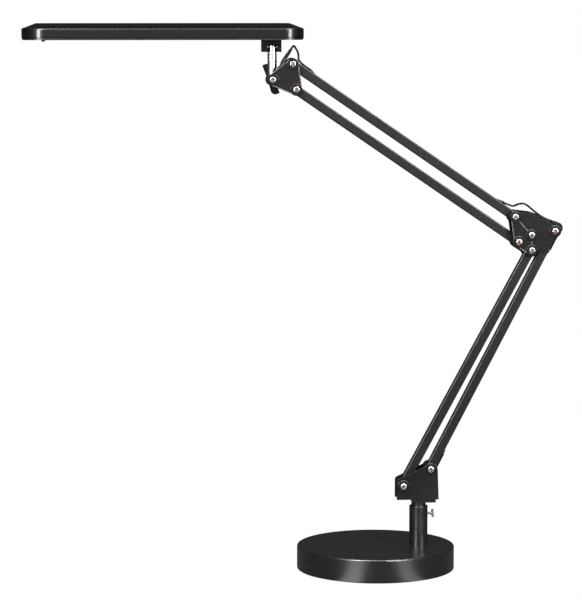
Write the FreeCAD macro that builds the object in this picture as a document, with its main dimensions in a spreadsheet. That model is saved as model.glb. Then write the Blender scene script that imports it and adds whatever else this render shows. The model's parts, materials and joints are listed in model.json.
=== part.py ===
"""Swing-arm desk lamp: a flat LED head on a double parallelogram arm over a weighted disc base.

Frame: millimetres, +Z up, origin at the centre of the base's underside. The arm folds in the XZ plane,
and -Y is the front of the lamp.
"""

import FreeCAD, Part
import math
import os

import Sketcher

Vector = FreeCAD.Vector
Rotation = FreeCAD.Rotation
Placement = FreeCAD.Placement

doc = FreeCAD.newDocument("DeskLamp")

# ---------------------------------------------------------------- driving dimensions (mm, degrees)
SIZES = {
    # base
    "base_diameter": 200.0,
    "base_height": 30.9,
    "pad_diameter": 186.0,
    "pad_thickness": 1.5,
    "base_wall": 1.5,
    "base_rim_round": 1.8,
    "base_foot_round": 1.2,
    "weight_side_gap": 1.5,
    "weight_thickness": 11.5,
    "weight_boss_diameter": 46.0,
    "cable_slot_width": 9.0,
    "grommet_diameter": 10.0,
    "grommet_bore": 4.8,
    "grommet_rim": 1.4,
    "grommet_rim_depth": 1.6,
    "grommet_depth": 4.5,
    # post
    "post_offset": 55.0,
    "tube_diameter": 23.4,
    "tube_height": 50.1,
    "tube_floor": 8.0,
    "tube_lip": 0.9,
    "spigot_diameter": 16.0,
    "spigot_lift": 0.5,
    "post_bore": 9.0,
    "nut_flats": 24.0,
    "nut_thickness": 5.0,
    "nut_room": 1.0,
    "neck_diameter": 18.3,
    "neck_lift": 0.5,
    "neck_show": 4.7,
    "thumb_drop": 10.6,
    "thumb_thread": 3.2,
    "thumb_stem": 5.6,
    "thumb_tip_gap": 0.3,
    "thumb_wing_width": 8.6,
    "thumb_wing_span": 14.0,
    "thumb_wing_depth": 2.0,
    "thumb_wing_round": 1.6,
    # base bracket
    "block_height": 10.0,
    "block_reach_left": 9.0,
    "block_reach_right": 21.0,
    "block_side_gap": 0.1,
    "bracket_lift": 4.3,
    "bracket_edge": 8.4,
    "bracket_shoulder": 8.0,
    "bracket_crown": 11.2,
    "bracket_corner_round": 4.5,
    "spine_thickness": 1.6,
    "spine_lean": 1.7,
    "spine_drop": 4.2,
    "spine_notch_width": 6.6,
    "spine_notch_depth": 13.0,
    "base_left_run": -20.7,
    "base_left_rise": 17.4,
    "base_right_run": 14.3,
    "base_right_rise": 38.9,
    # plates and bars
    "plate_gap": 20.0,
    "plate_thickness": 2.0,
    "cheek_thickness": 1.6,
    "rim_width": 1.3,
    "rim_height": 0.6,
    "boss_radius": 7.7,
    "boss_height": 0.8,
    "boss_slope": 0.7,
    "bar_width": 11.5,
    "bar_wall": 0.9,
    "bar_corner": 1.5,
    "lead_slot_start": 20.0,
    "lead_slot_length": 22.0,
    "lead_slot_width": 5.6,
    "lower_length": 340.0,
    "lower_right_angle": 62.65,
    "lower_left_angle": 61.67,
    "upper_length": 340.6,
    "upper_angle": 145.62,
    # elbow
    "elbow_top_run": -51.1,
    "elbow_top_rise": 18.4,
    "elbow_mid_run": 4.6,
    "elbow_mid_drop": 31.75,
    "elbow_brace_run": -30.1,
    "elbow_brace_drop": 4.8,
    "spacer_diameter": 8.0,
    "crown_near_run": 18.6,
    "crown_near_drop": 2.3,
    "crown_far_run": 29.1,
    "crown_far_drop": 5.7,
    "nose_rise": 4.3,
    "nose_left_run": -1.5,
    "nose_right_run": 2.6,
    "nose_margin": 7.0,
    "cheek_margin": 6.0,
    "wing_margin": 6.0,
    "skirt_run": 8.8,
    "skirt_drop": 22.6,
    "skirt_margin": 2.0,
    "skirt_step": 0.5,
    "back_left_margin": 5.8,
    "back_top_margin": 8.0,
    "back_low_margin": 8.2,
    "back_heel_radius": 10.5,
    # head bracket
    "head_margin": 7.3,
    "tilt_run": -24.9,
    "tilt_drop": 19.4,
    "hub_radius": 7.5,
    "hub_side_gap": 0.1,
    "knob_gap": 0.4,
    "knob_hub_diameter": 14.0,
    "knob_hub_depth": 9.0,
    "knob_span": 40.0,
    "knob_root": 8.0,
    "knob_wing_width": 10.2,
    "knob_wing_depth": 5.0,
    "knob_wing_round": 1.4,
    "knob_wing_sweep": 5.5,
    "knob_cap": 2.0,
    "knob_angle": 108.0,
    # rod and yoke
    "rod_diameter": 11.6,
    "rod_bore": 7.0,
    "rod_length": 33.1,
    "rod_seat": 4.0,
    "rod_exit_rise": 12.8,
    "exit_width": 6.4,
    "exit_height": 4.0,
    "exit_stand": 1.8,
    "knuckle_gap": 0.3,
    "knuckle_rise": 8.1,
    "knuckle_spigot": 9.0,
    "knuckle_bore": 5.4,
    "knuckle_slot": 8.4,
    "roll_rise": 8.6,
    "yoke_width": 24.2,
    "yoke_depth": 22.0,
    "yoke_height": 15.3,
    "yoke_side_gap": 0.8,
    "yoke_ball_gap": 0.55,
    "yoke_slot_rise": 2.4,
    "yoke_roof": 2.4,
    "yoke_round": 1.0,
    "yoke_shift": -1.0,
    "pin_diameter": 5.0,
    "pin_end_gap": 0.5,
    "yoke_washer_diameter": 9.0,
    "yoke_washer_gap": 0.15,
    "yoke_washer_play": 0.05,
    # lamp head
    "head_left_reach": 310.7,
    "head_right_reach": 38.3,
    "head_depth": 88.0,
    "head_height": 20.3,
    "head_wall": 1.6,
    "head_corner": 28.0,
    "bevel_run": 17.0,
    "bevel_rise": 6.5,
    "bezel_height": 2.2,
    "bezel_inset": 0.8,
    "bezel_border": 12.0,
    "button_border": 36.0,
    "yoke_border": 56.0,
    "window_corner": 6.0,
    "diffuser_thickness": 2.0,
    "diffuser_lap": 3.0,
    "light_box_wall": 3.5,
    "board_thickness": 1.6,
    "board_side_gap": 1.0,
    "board_gap": 7.0,
    "led_columns": 18,
    "led_rows": 3,
    "led_width": 3.5,
    "led_depth": 2.8,
    "led_height": 0.8,
    "driver_length": 60.0,
    "driver_depth": 26.0,
    "driver_height": 5.0,
    "driver_offset": 28.0,
    "button_diameter": 4.4,
    "button_round": 0.5,
    "button_inset": 26.7,
    "button_drop": 2.3,
    "button_travel": 1.2,
    "button_gap": 0.25,
    "button_collar": 1.0,
    "switch_width": 11.0,
    "switch_roof": 1.5,
    # fasteners and lead
    "running_clearance": 0.08,
    "fit_clearance": 0.06,
    "bolt_diameter": 5.0,
    "bolt_head_diameter": 8.9,
    "bolt_head_height": 3.0,
    "bolt_head_round": 1.9,
    "cross_width": 1.3,
    "cross_length": 4.8,
    "cross_depth": 1.5,
    "bolt_nut_flats": 8.0,
    "bolt_nut_thickness": 4.4,
    "bolt_tail": 1.0,
    "bush_diameter": 7.0,
    "bush_flange_diameter": 11.0,
    "bush_side_gap": 0.1,
    "bush_middle_gap": 0.8,
    "open_pivot_clearance": 1.3,
    "lead_width": 4.4,
    "lead_thickness": 2.1,
    "lead_dive": 48.0,
    "lead_rest": 2.0,
    "lead_stop": 3.5,
    "lead_top": 3.4,
    "knuckle_sink": 9.1,
}

# ---------------------------------------------------------------- places worked out from them
PLACES = {
    "bracket_z": "Sizes.base_height + Sizes.tube_height + Sizes.neck_show",
    "cheek_z": "bracket_z + Sizes.bracket_lift",
    "base_left_x": "Sizes.post_offset + Sizes.base_left_run",
    "base_left_z": "cheek_z + Sizes.base_left_rise",
    "base_right_x": "Sizes.post_offset + Sizes.base_right_run",
    "base_right_z": "cheek_z + Sizes.base_right_rise",
    "elbow_right_x": "base_right_x + Sizes.lower_length * cos(Sizes.lower_right_angle)",
    "elbow_right_z": "base_right_z + Sizes.lower_length * sin(Sizes.lower_right_angle)",
    "elbow_left_x": "base_left_x + Sizes.lower_length * cos(Sizes.lower_left_angle)",
    "elbow_left_z": "base_left_z + Sizes.lower_length * sin(Sizes.lower_left_angle)",
    "elbow_top_x": "elbow_right_x + Sizes.elbow_top_run",
    "elbow_top_z": "elbow_right_z + Sizes.elbow_top_rise",
    "elbow_mid_x": "elbow_top_x + Sizes.elbow_mid_run",
    "elbow_mid_z": "elbow_top_z - Sizes.elbow_mid_drop",
    "elbow_brace_x": "elbow_right_x + Sizes.elbow_brace_run",
    "elbow_brace_z": "elbow_right_z - Sizes.elbow_brace_drop",
    "crown_near_x": "elbow_top_x + Sizes.crown_near_run",
    "crown_near_z": "elbow_top_z - Sizes.crown_near_drop",
    "crown_far_x": "elbow_top_x + Sizes.crown_far_run",
    "crown_far_z": "elbow_top_z - Sizes.crown_far_drop",
    "skirt_tip_x": "elbow_right_x - Sizes.skirt_run",
    "skirt_tip_z": "elbow_right_z - Sizes.skirt_drop",
    "nose_left_x": "elbow_right_x + Sizes.nose_left_run",
    "nose_left_z": "elbow_right_z + Sizes.nose_rise",
    "nose_right_x": "elbow_right_x + Sizes.nose_right_run",
    "nose_right_z": "elbow_right_z + Sizes.nose_rise",
    "head_top_x": "elbow_top_x + Sizes.upper_length * cos(Sizes.upper_angle)",
    "head_top_z": "elbow_top_z + Sizes.upper_length * sin(Sizes.upper_angle)",
    "head_low_x": "head_top_x + Sizes.elbow_mid_run",
    "head_low_z": "head_top_z - Sizes.elbow_mid_drop",
    "tilt_x": "head_top_x + Sizes.tilt_run",
    "tilt_z": "head_top_z - Sizes.tilt_drop",
    "exit_z": "tilt_z + Sizes.rod_exit_rise",
    "swivel_z": "tilt_z + Sizes.rod_length",
    "roll_z": "swivel_z + Sizes.knuckle_rise",
    "head_z": "roll_z + Sizes.roll_rise",
    "yoke_x": "tilt_x + Sizes.yoke_shift",
    "head_length": "Sizes.head_left_reach + Sizes.head_right_reach",
    "head_mid_x": "tilt_x + (Sizes.head_right_reach - Sizes.head_left_reach) / 2",
    "button_x": "tilt_x - Sizes.head_left_reach + Sizes.button_inset",
    "cheek_y": "Sizes.plate_gap / 2",
    "outer_y": "cheek_y + Sizes.plate_thickness",
    "front_y": "outer_y + Sizes.cheek_thickness",
    "knob_y": "outer_y + Sizes.boss_height + Sizes.knob_gap",
    "bore_radius": "Sizes.neck_diameter / 2 + Sizes.running_clearance",
    "shelf_z": "Sizes.base_height + Sizes.tube_floor",
    "thumb_z": "Sizes.base_height + Sizes.tube_height - Sizes.thumb_drop",
    "grommet_z": "Sizes.base_height - Sizes.base_wall - Sizes.grommet_diameter / 2 - Sizes.grommet_rim",
    "ceiling_z": "Sizes.base_height - Sizes.base_wall",
}


def make_sheets():
    """The sheet of driving dimensions, and the sheet of places that follow from them."""
    sizes = doc.addObject("Spreadsheet::Sheet", "Sizes")
    for row, (name, value) in enumerate(SIZES.items(), 1):
        sizes.set("A%d" % row, name)
        sizes.set("B%d" % row, str(value))
        sizes.setAlias("B%d" % row, name)
    places = doc.addObject("Spreadsheet::Sheet", "Places")
    for row, (name, formula) in enumerate(PLACES.items(), 1):
        places.set("A%d" % row, name)
        places.set("B%d" % row, "=" + formula)
        places.setAlias("B%d" % row, name)
    doc.recompute()
    return sizes, places


sizes, places = make_sheets()


def value(name):
    """A size or a place as a number."""
    sheet = sizes if name in SIZES else places
    return float(getattr(sheet, name))


def bind(obj, **expressions):
    """Binds properties to expressions. Double underscores stand for dots."""
    for name, expression in expressions.items():
        obj.setExpression(name.replace("__", "."), expression)
    return obj


def at(obj, x="0", y="0", z="0"):
    """Places an object at a point given by expressions."""
    return bind(obj, Placement__Base__x=x, Placement__Base__y=y, Placement__Base__z=z)


def turned(obj, axis, angle="90"):
    """Turns an object about its own origin by an expression in degrees."""
    obj.Placement.Rotation = Rotation(axis, 1.0)
    obj.setExpression("Placement.Rotation.Angle", angle)
    return obj


X_AXIS = Vector(1, 0, 0)
Y_AXIS = Vector(0, 1, 0)
Z_AXIS = Vector(0, 0, 1)
parts = {}


def node(name, obj):
    """Names an object as a separate piece of the lamp."""
    obj.Label = name
    parts[name] = obj
    return obj


def unique(prefix):
    """A document name that isn't taken."""
    unique.count += 1
    return "%s%03d" % (prefix, unique.count)


unique.count = 0


def cylinder(radius, height, x="0", y="0", z="0", axis="z"):
    """A cylinder that starts at a point and runs along +x, +y or +z."""
    obj = doc.addObject("Part::Cylinder", unique("Cylinder"))
    bind(obj, Radius=radius, Height=height)
    if axis == "x":
        turned(obj, Y_AXIS, "90")
    if axis == "y":
        turned(obj, X_AXIS, "-90")
    return at(obj, x, y, z)


def box(length, width, height, x="0", y="0", z="0"):
    """A box from its lowest corner."""
    obj = doc.addObject("Part::Box", unique("Box"))
    bind(obj, Length=length, Width=width, Height=height)
    return at(obj, x, y, z)


def cut(base, *tools):
    """base without tools."""
    obj = doc.addObject("Part::Cut", unique("Cut"))
    obj.Base = base
    obj.Tool = tools[0] if len(tools) == 1 else fuse(*tools)
    return obj


def fuse(*shapes):
    """Several shapes as one."""
    obj = doc.addObject("Part::MultiFuse", unique("Fuse"))
    obj.Shapes = list(shapes)
    return obj


def common(first, second):
    """What two shapes share."""
    obj = doc.addObject("Part::MultiCommon", unique("Common"))
    obj.Shapes = [first, second]
    return obj


def group(*shapes):
    """Separate solids that share a node."""
    obj = doc.addObject("Part::Compound", unique("Group"))
    obj.Links = list(shapes)
    return obj


def rounded(base, radius, chosen):
    """Fillets the edges of base that chosen(edge) picks."""
    doc.recompute()
    edges = [i + 1 for i, edge in enumerate(base.Shape.Edges) if chosen(edge)]
    obj = doc.addObject("Part::Fillet", unique("Fillet"))
    obj.Base = base
    obj.Edges = [(i, radius, radius) for i in edges]
    return obj


def ring_at(height, radius=None):
    """Picks round edges that lie level at a height, of a radius if one is given."""

    def chosen(edge):
        box_ = edge.BoundBox
        if not isinstance(edge.Curve, Part.Circle) or box_.ZLength > 1e-6:
            return False
        return abs(box_.ZMin - height) < 1e-4 and (radius is None or abs(edge.Curve.Radius - radius) < 1e-4)

    return chosen


def polygon(body, name, plane, corners):
    """A closed sketch of straight sides, with each corner held by two bound distances from the origin."""
    sketch = body.newObject("Sketcher::SketchObject", name)
    support = [f for f in body.Origin.OriginFeatures if f.Role == plane][0]
    sketch.AttachmentSupport = [(support, "")]
    sketch.MapMode = "FlatFace"
    constrain(sketch, corners)
    return sketch


def constrain(sketch, corners):
    """Draws the closed outline and binds its corners."""
    count = len(corners)
    start = [Vector(math.cos(math.tau * i / count), math.sin(math.tau * i / count), 0) for i in range(count)]
    for i in range(count):
        sketch.addGeometry(Part.LineSegment(start[i], start[(i + 1) % count]), False)
    for i in range(count):
        sketch.addConstraint(Sketcher.Constraint("Coincident", i, 2, (i + 1) % count, 1))
    for i, (across, up) in enumerate(corners):
        for kind, expression, first in (("DistanceX", across, start[i].x), ("DistanceY", up, start[i].y)):
            number = sketch.addConstraint(Sketcher.Constraint(kind, -1, 1, i, 1, first))
            sketch.setExpression("Constraints[%d]" % number, expression)


def face_sketch(corners):
    """A free sketch of straight sides in the XZ plane, whose normal is -Y."""
    sketch = doc.addObject("Sketcher::SketchObject", unique("Outline"))
    sketch.Placement = Placement(Vector(0, 0, 0), Rotation(X_AXIS, 90))
    constrain(sketch, corners)
    return sketch


def span(first, second):
    """The length of the way between two pivots, and its slope, as expressions."""
    (x1, z1), (x2, z2) = point(first), point(second)
    run = "(%s - %s)" % (x2, x1)
    rise = "(%s - %s)" % (z2, z1)
    return "sqrt(%s ^ 2 + %s ^ 2)" % (run, rise), "atan2(%s; %s)" % (rise, run)


def strip(first, second, near, far, inner, outer):
    """A flat bar along the left-hand side of the way between two pivots, from near to far off it."""
    length, slope = span(first, second)
    x, z = point(first)
    bar = box(length, "abs((%s) - (%s))" % (outer, inner), "(%s) - (%s)" % (far, near))
    turned(bar, Vector(0, -1, 0), slope)
    return at(
        bar,
        "%s - (%s) * sin(%s)" % (x, near, slope),
        "min(%s; %s)" % (inner, outer),
        "%s + (%s) * cos(%s)" % (z, near, slope),
    )


def sheet(chain, inner, outer):
    """A flat sheet round a chain of pivots, from y inner to y outer.

    The chain runs clockwise as seen from the front. Each pivot comes with the radius of the sheet
    round it, and with how far the sheet's edge stands off the way to the next pivot.
    """
    core = doc.addObject("Part::Extrusion", unique("Sheet"))
    core.Base = face_sketch([point(pivot) for pivot, radius, margin in chain])
    core.DirMode = "Custom"
    core.Dir = Y_AXIS
    core.Solid = True
    bind(core, LengthFwd="abs((%s) - (%s))" % (outer, inner))
    at(core, y="min(%s; %s)" % (inner, outer))
    pieces = [core]
    for i, (pivot, radius, margin) in enumerate(chain):
        pieces.append(across(radius, pivot, "min(%s; %s)" % (inner, outer), "max(%s; %s)" % (inner, outer)))
        if margin != "0":
            pieces.append(strip(pivot, chain[(i + 1) % len(chain)][0], "0", margin, inner, outer))
    return pieces


def rims(chain, face, outer):
    """Pressed rims along a sheet's edges. An edge without a margin has its rim on the way itself."""
    pieces = []
    for i, (pivot, radius, margin) in enumerate(chain):
        far = margin if margin != "0" else "Sizes.rim_width / 2"
        following = chain[(i + 1) % len(chain)][0]
        pieces.append(strip(pivot, following, "%s - Sizes.rim_width" % far, far, face, outer))
    return pieces


def boss(pivot, face, front):
    """A pressed ring with a sloping edge round a bolt, on the face at y face."""
    x, z = point(pivot)
    cone = doc.addObject("Part::Cone", unique("Boss"))
    bind(cone, Radius1="Sizes.boss_radius", Radius2="Sizes.boss_radius - Sizes.boss_slope")
    bind(cone, Height="Sizes.boss_height")
    turned(cone, X_AXIS, "90" if front else "-90")
    return at(cone, x, face, z)


def bolt_holes(*pivots):
    """Bolt holes right through at several pivots."""
    radius = "Sizes.bolt_diameter / 2 + Sizes.fit_clearance"
    return [across(radius, pivot, "-2 * Places.front_y", "2 * Places.front_y") for pivot in pivots]


def point(name):
    """A pivot's two coordinates as expressions."""
    return "Places.%s_x" % name, "Places.%s_z" % name


def across(radius, pivot, start, stop):
    """A cylinder along +y at a pivot, between two y expressions."""
    x, z = point(pivot)
    return cylinder(radius, "(%s) - (%s)" % (stop, start), x, start, z, "y")


def lead_section(start, heading):
    """The flat twin lead's outline, broad along Y, square to its heading."""
    half = value("lead_width") / 2
    radius = value("lead_thickness") / 2
    thick = heading.cross(Y_AXIS).normalize() * radius
    near = Y_AXIS * (half - radius)
    far = Y_AXIS * half
    return Part.Wire(
        [
            Part.LineSegment(start - near + thick, start + near + thick).toShape(),
            Part.Arc(start + near + thick, start + far, start + near - thick).toShape(),
            Part.LineSegment(start + near - thick, start - near - thick).toShape(),
            Part.Arc(start - near - thick, start - far, start - near + thick).toShape(),
        ]
    )


def lead(name, route):
    """A stretch of the flat lead: straight runs joined by tangent arcs, as large as the runs allow."""
    points = [Vector(*p) for p in route]
    heading = (points[1] - points[0]).normalize()
    edges = []
    radii = []
    here = points[0]
    for i in range(1, len(points) - 1):
        before = points[i] - points[i - 1]
        after = points[i + 1] - points[i]
        turn = before.getAngle(after)
        run = 0.45 * min(before.Length, after.Length)
        first = points[i] - before.normalize() * run
        last = points[i] + after.normalize() * run
        radius = run / math.tan(turn / 2)
        inwards = (after - before).normalize()
        middle = points[i] + inwards * (radius / math.cos(turn / 2) - radius)
        edges.append(Part.LineSegment(here, first).toShape())
        edges.append(Part.Arc(first, middle, last).toShape())
        radii.append(radius)
        here = last
    edges.append(Part.LineSegment(here, points[-1]).toShape())
    path = Part.Wire(edges)
    section = lead_section(points[0], heading)
    solid = path.makePipeShell([section], True, False)
    obj = doc.addObject("Part::Feature", unique("Lead"))
    obj.Shape = solid
    ratio = solid.Volume / (Part.Face(section).Area * path.Length)
    arcs = " ".join("%.1f" % radius for radius in radii)
    print("%s: length %.1f, arc radii %s, volume ratio %.4f" % (name, path.Length, arcs, ratio))
    return node(name, obj)


def in_bar(start, angle, length, ends):
    """A lead's route through a bar. Each end lies some way in from the bar's pivot, and off its middle line."""
    x, z = value(start + "_x"), value(start + "_z")
    far = value(length)
    slope = math.radians(value(angle))
    route = []
    dive = value("lead_dive")
    for along, off in (ends[0], (dive, 0.0), (far - dive, 0.0), (far - ends[1][0], ends[1][1])):
        route.append(
            (
                x + along * math.cos(slope) + off * math.sin(slope),
                0.0,
                z + along * math.sin(slope) - off * math.cos(slope),
            )
        )
    return route


# ---------------------------------------------------------------- base
def make_base():
    """Pad, turned shell, cast weight, the tube with its spigot and nut, and the cable grommet."""
    post = "Sizes.post_offset"
    spigot_way = "Sizes.spigot_diameter / 2 + Sizes.fit_clearance"
    node("base_pad", cylinder("Sizes.pad_diameter / 2", "Sizes.pad_thickness"))

    height = "Sizes.base_height - Sizes.pad_thickness"
    disc = cylinder("Sizes.base_diameter / 2", height, z="Sizes.pad_thickness")
    top_round = rounded(disc, value("base_rim_round"), ring_at(value("base_height")))
    foot_round = rounded(top_round, value("base_foot_round"), ring_at(value("pad_thickness")))
    hollow = cylinder(
        "Sizes.base_diameter / 2 - Sizes.base_wall", height + " - Sizes.base_wall", z="Sizes.pad_thickness"
    )
    grommet_hole = cylinder(
        "Sizes.grommet_diameter / 2 + Sizes.fit_clearance",
        "2 * Sizes.base_wall",
        y="Sizes.base_diameter / 2 - 1.5 * Sizes.base_wall",
        z="Places.grommet_z",
        axis="y",
    )
    node("base_shell", cut(foot_round, hollow, grommet_hole, cylinder(spigot_way, "Sizes.base_height", post)))

    plate = cylinder(
        "Sizes.base_diameter / 2 - Sizes.base_wall - Sizes.weight_side_gap",
        "Sizes.weight_thickness",
        z="Sizes.pad_thickness",
    )
    hub = cylinder(
        "Sizes.weight_boss_diameter / 2", height + " - Sizes.base_wall", post, z="Sizes.pad_thickness"
    )
    nut_pocket = cylinder(
        "Sizes.nut_flats / sqrt(3) + Sizes.nut_room",
        "Sizes.nut_thickness + Sizes.nut_room",
        post,
        z="Sizes.pad_thickness",
    )
    cable_way = box(
        "Sizes.weight_boss_diameter / 2",
        "Sizes.cable_slot_width",
        "Sizes.base_height",
        "Sizes.post_offset - Sizes.weight_boss_diameter / 2",
        "-Sizes.cable_slot_width / 2",
        "Sizes.pad_thickness + Sizes.weight_thickness",
    )
    through = cylinder(spigot_way, "Sizes.base_height", post)
    node("base_weight", cut(fuse(plate, hub), nut_pocket, through, cable_way))

    tube = cylinder("Sizes.tube_diameter / 2", "Sizes.tube_height", post, z="Sizes.base_height")
    tube_round = rounded(tube, value("tube_lip"), ring_at(value("base_height") + value("tube_height")))
    foot = "(Sizes.pad_thickness + Sizes.spigot_lift)"
    spigot = cylinder("Sizes.spigot_diameter / 2", "Sizes.base_height - " + foot, post, z=foot)
    socket = cylinder("Places.bore_radius", "Sizes.tube_height", post, z="Places.shelf_z")
    cable_bore = cylinder("Sizes.post_bore / 2", "2 * Sizes.base_height", post)
    window = box(
        "Sizes.spigot_diameter",
        "Sizes.post_bore * 0.8",
        "Places.ceiling_z - Sizes.weight_thickness - Sizes.pad_thickness",
        "Sizes.post_offset - Sizes.spigot_diameter",
        "-Sizes.post_bore * 0.4",
        "Sizes.pad_thickness + Sizes.weight_thickness",
    )
    screw_hole = cylinder(
        "Sizes.thumb_thread / 2 + Sizes.fit_clearance", "Sizes.tube_diameter", post, z="Places.thumb_z", axis="x"
    )
    node("stand_tube", cut(fuse(tube_round, spigot), socket, cable_bore, window, screw_hole))

    nut = doc.addObject("Part::Prism", unique("Prism"))
    nut.Polygon = 6
    bind(nut, Circumradius="Sizes.nut_flats / sqrt(3)", Height="Sizes.nut_thickness")
    at(nut, post, "0", "Sizes.pad_thickness + Sizes.nut_room")
    node("spigot_nut", cut(nut, cylinder(spigot_way, "Sizes.base_height", post)))

    edge = "Sizes.base_diameter / 2"
    sleeve = cylinder(
        "Sizes.grommet_diameter / 2",
        "Sizes.grommet_depth",
        y=edge + " - Sizes.grommet_depth + Sizes.grommet_rim_depth / 2",
        z="Places.grommet_z",
        axis="y",
    )
    flange = cylinder(
        "Sizes.grommet_diameter / 2 + Sizes.grommet_rim",
        "Sizes.grommet_rim_depth",
        y=edge + " + Sizes.fit_clearance",
        z="Places.grommet_z",
        axis="y",
    )
    bore = cylinder(
        "Sizes.grommet_bore / 2",
        "4 * Sizes.grommet_depth",
        y=edge + " - 2 * Sizes.grommet_depth",
        z="Places.grommet_z",
        axis="y",
    )
    node("cable_grommet", cut(fuse(sleeve, flange), bore))


# ---------------------------------------------------------------- neck and base bracket
def make_neck():
    """The post that turns in the tube, its block, and the U-shaped bracket of the lower arm."""
    x = "Sizes.post_offset"
    foot = "(Places.shelf_z + Sizes.neck_lift)"
    bury = "Sizes.block_height / 2"
    post = cylinder("Sizes.neck_diameter / 2", "Places.bracket_z + %s - %s" % (bury, foot), x, z=foot)
    node("neck_post", cut(post, cylinder("Sizes.post_bore / 2", "2 * Sizes.tube_height", x, z="Places.shelf_z")))

    depth = "(Sizes.plate_gap - 2 * Sizes.block_side_gap)"
    block = box(
        "Sizes.block_reach_left + Sizes.block_reach_right",
        depth,
        "Sizes.block_height",
        "Sizes.post_offset - Sizes.block_reach_left",
        "-%s / 2" % depth,
        "Places.bracket_z",
    )
    seat = cylinder("Sizes.neck_diameter / 2", bury, x, z="Places.bracket_z")
    way = cylinder("Sizes.post_bore / 2", "Sizes.block_height", x, z="Places.bracket_z")
    node("neck_block", cut(block, seat, way))

    body = doc.addObject("PartDesign::Body", "BaseBracket")
    right = "Places.base_right_x + Sizes.bracket_edge"
    foot = "%s + Sizes.spine_lean" % right
    left = "Places.base_left_x - Sizes.bracket_edge"
    crown = "Places.base_right_z + Sizes.bracket_crown"
    outline = polygon(
        body,
        "BracketOutline",
        "XZ_Plane",
        [
            (left, "Places.cheek_z"),
            (left, "Places.base_left_z + Sizes.bracket_shoulder"),
            (right, crown),
            (foot, "Places.cheek_z"),
        ],
    )
    pad = body.newObject("PartDesign::Pad", "BracketPad")
    pad.Profile = outline
    pad.Midplane = True
    bind(pad, Length="Sizes.plate_gap + 2 * Sizes.plate_thickness")
    doc.recompute()
    corners = []
    for i, edge in enumerate(pad.Shape.Edges):
        middle = edge.CenterOfMass
        if abs(edge.tangentAt(edge.FirstParameter).y) > 0.9:
            near_top = middle.x > value("base_right_x") and middle.z > value("base_right_z")
            corners.append((i + 1, near_top, middle.z > value("base_left_z")))
    nose = body.newObject("PartDesign::Fillet", "BracketNose")
    nose.Base = (pad, ["Edge%d" % i for i, top, high in corners if top])
    bind(nose, Radius="Sizes.bracket_edge")
    doc.recompute()
    shoulder = [
        "Edge%d" % (i + 1)
        for i, edge in enumerate(nose.Shape.Edges)
        if abs(edge.tangentAt(edge.FirstParameter).y) > 0.9
        and edge.CenterOfMass.x < value("base_left_x")
        and edge.CenterOfMass.z > value("base_left_z")
    ]
    corner = body.newObject("PartDesign::Fillet", "BracketCorner")
    corner.Base = (nose, shoulder)
    bind(corner, Radius="Sizes.bracket_corner_round")
    doc.recompute()
    beyond = "Sizes.bracket_edge"
    spine_top = "(Places.base_right_z - Sizes.spine_drop)"
    channel = polygon(
        body,
        "ChannelOutline",
        "XZ_Plane",
        [
            ("%s - %s" % (left, beyond), "Places.cheek_z - " + beyond),
            ("%s - %s" % (left, beyond), "%s + %s" % (crown, beyond)),
            ("%s + %s" % (foot, beyond), "%s + %s" % (crown, beyond)),
            ("%s + %s" % (foot, beyond), spine_top),
            (right + " - Sizes.spine_thickness", spine_top),
            (foot + " - Sizes.spine_thickness", "Places.cheek_z - " + beyond),
        ],
    )
    pocket = body.newObject("PartDesign::Pocket", "ChannelPocket")
    pocket.Profile = channel
    pocket.Midplane = True
    bind(pocket, Length="Sizes.plate_gap")
    body.Tip = pocket
    doc.recompute()
    notch = box(
        "4 * Sizes.spine_thickness",
        "Sizes.spine_notch_width",
        "Sizes.spine_notch_depth",
        right + " - 2 * Sizes.spine_thickness",
        "-Sizes.spine_notch_width / 2",
        spine_top + " - Sizes.spine_notch_depth",
    )
    pivots = ("base_left", "base_right")
    lobes = [
        across("Sizes.bracket_edge", "base_right", "-Places.outer_y", "-Places.cheek_y"),
        across("Sizes.bracket_edge", "base_right", "Places.cheek_y", "Places.outer_y"),
    ]
    bosses = [boss(pivot, "-Places.outer_y", True) for pivot in pivots]
    bosses += [boss(pivot, "Places.outer_y", False) for pivot in pivots]
    node("base_bracket", cut(fuse(body, *lobes, *bosses), notch, *bolt_holes(*pivots)))


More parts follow.
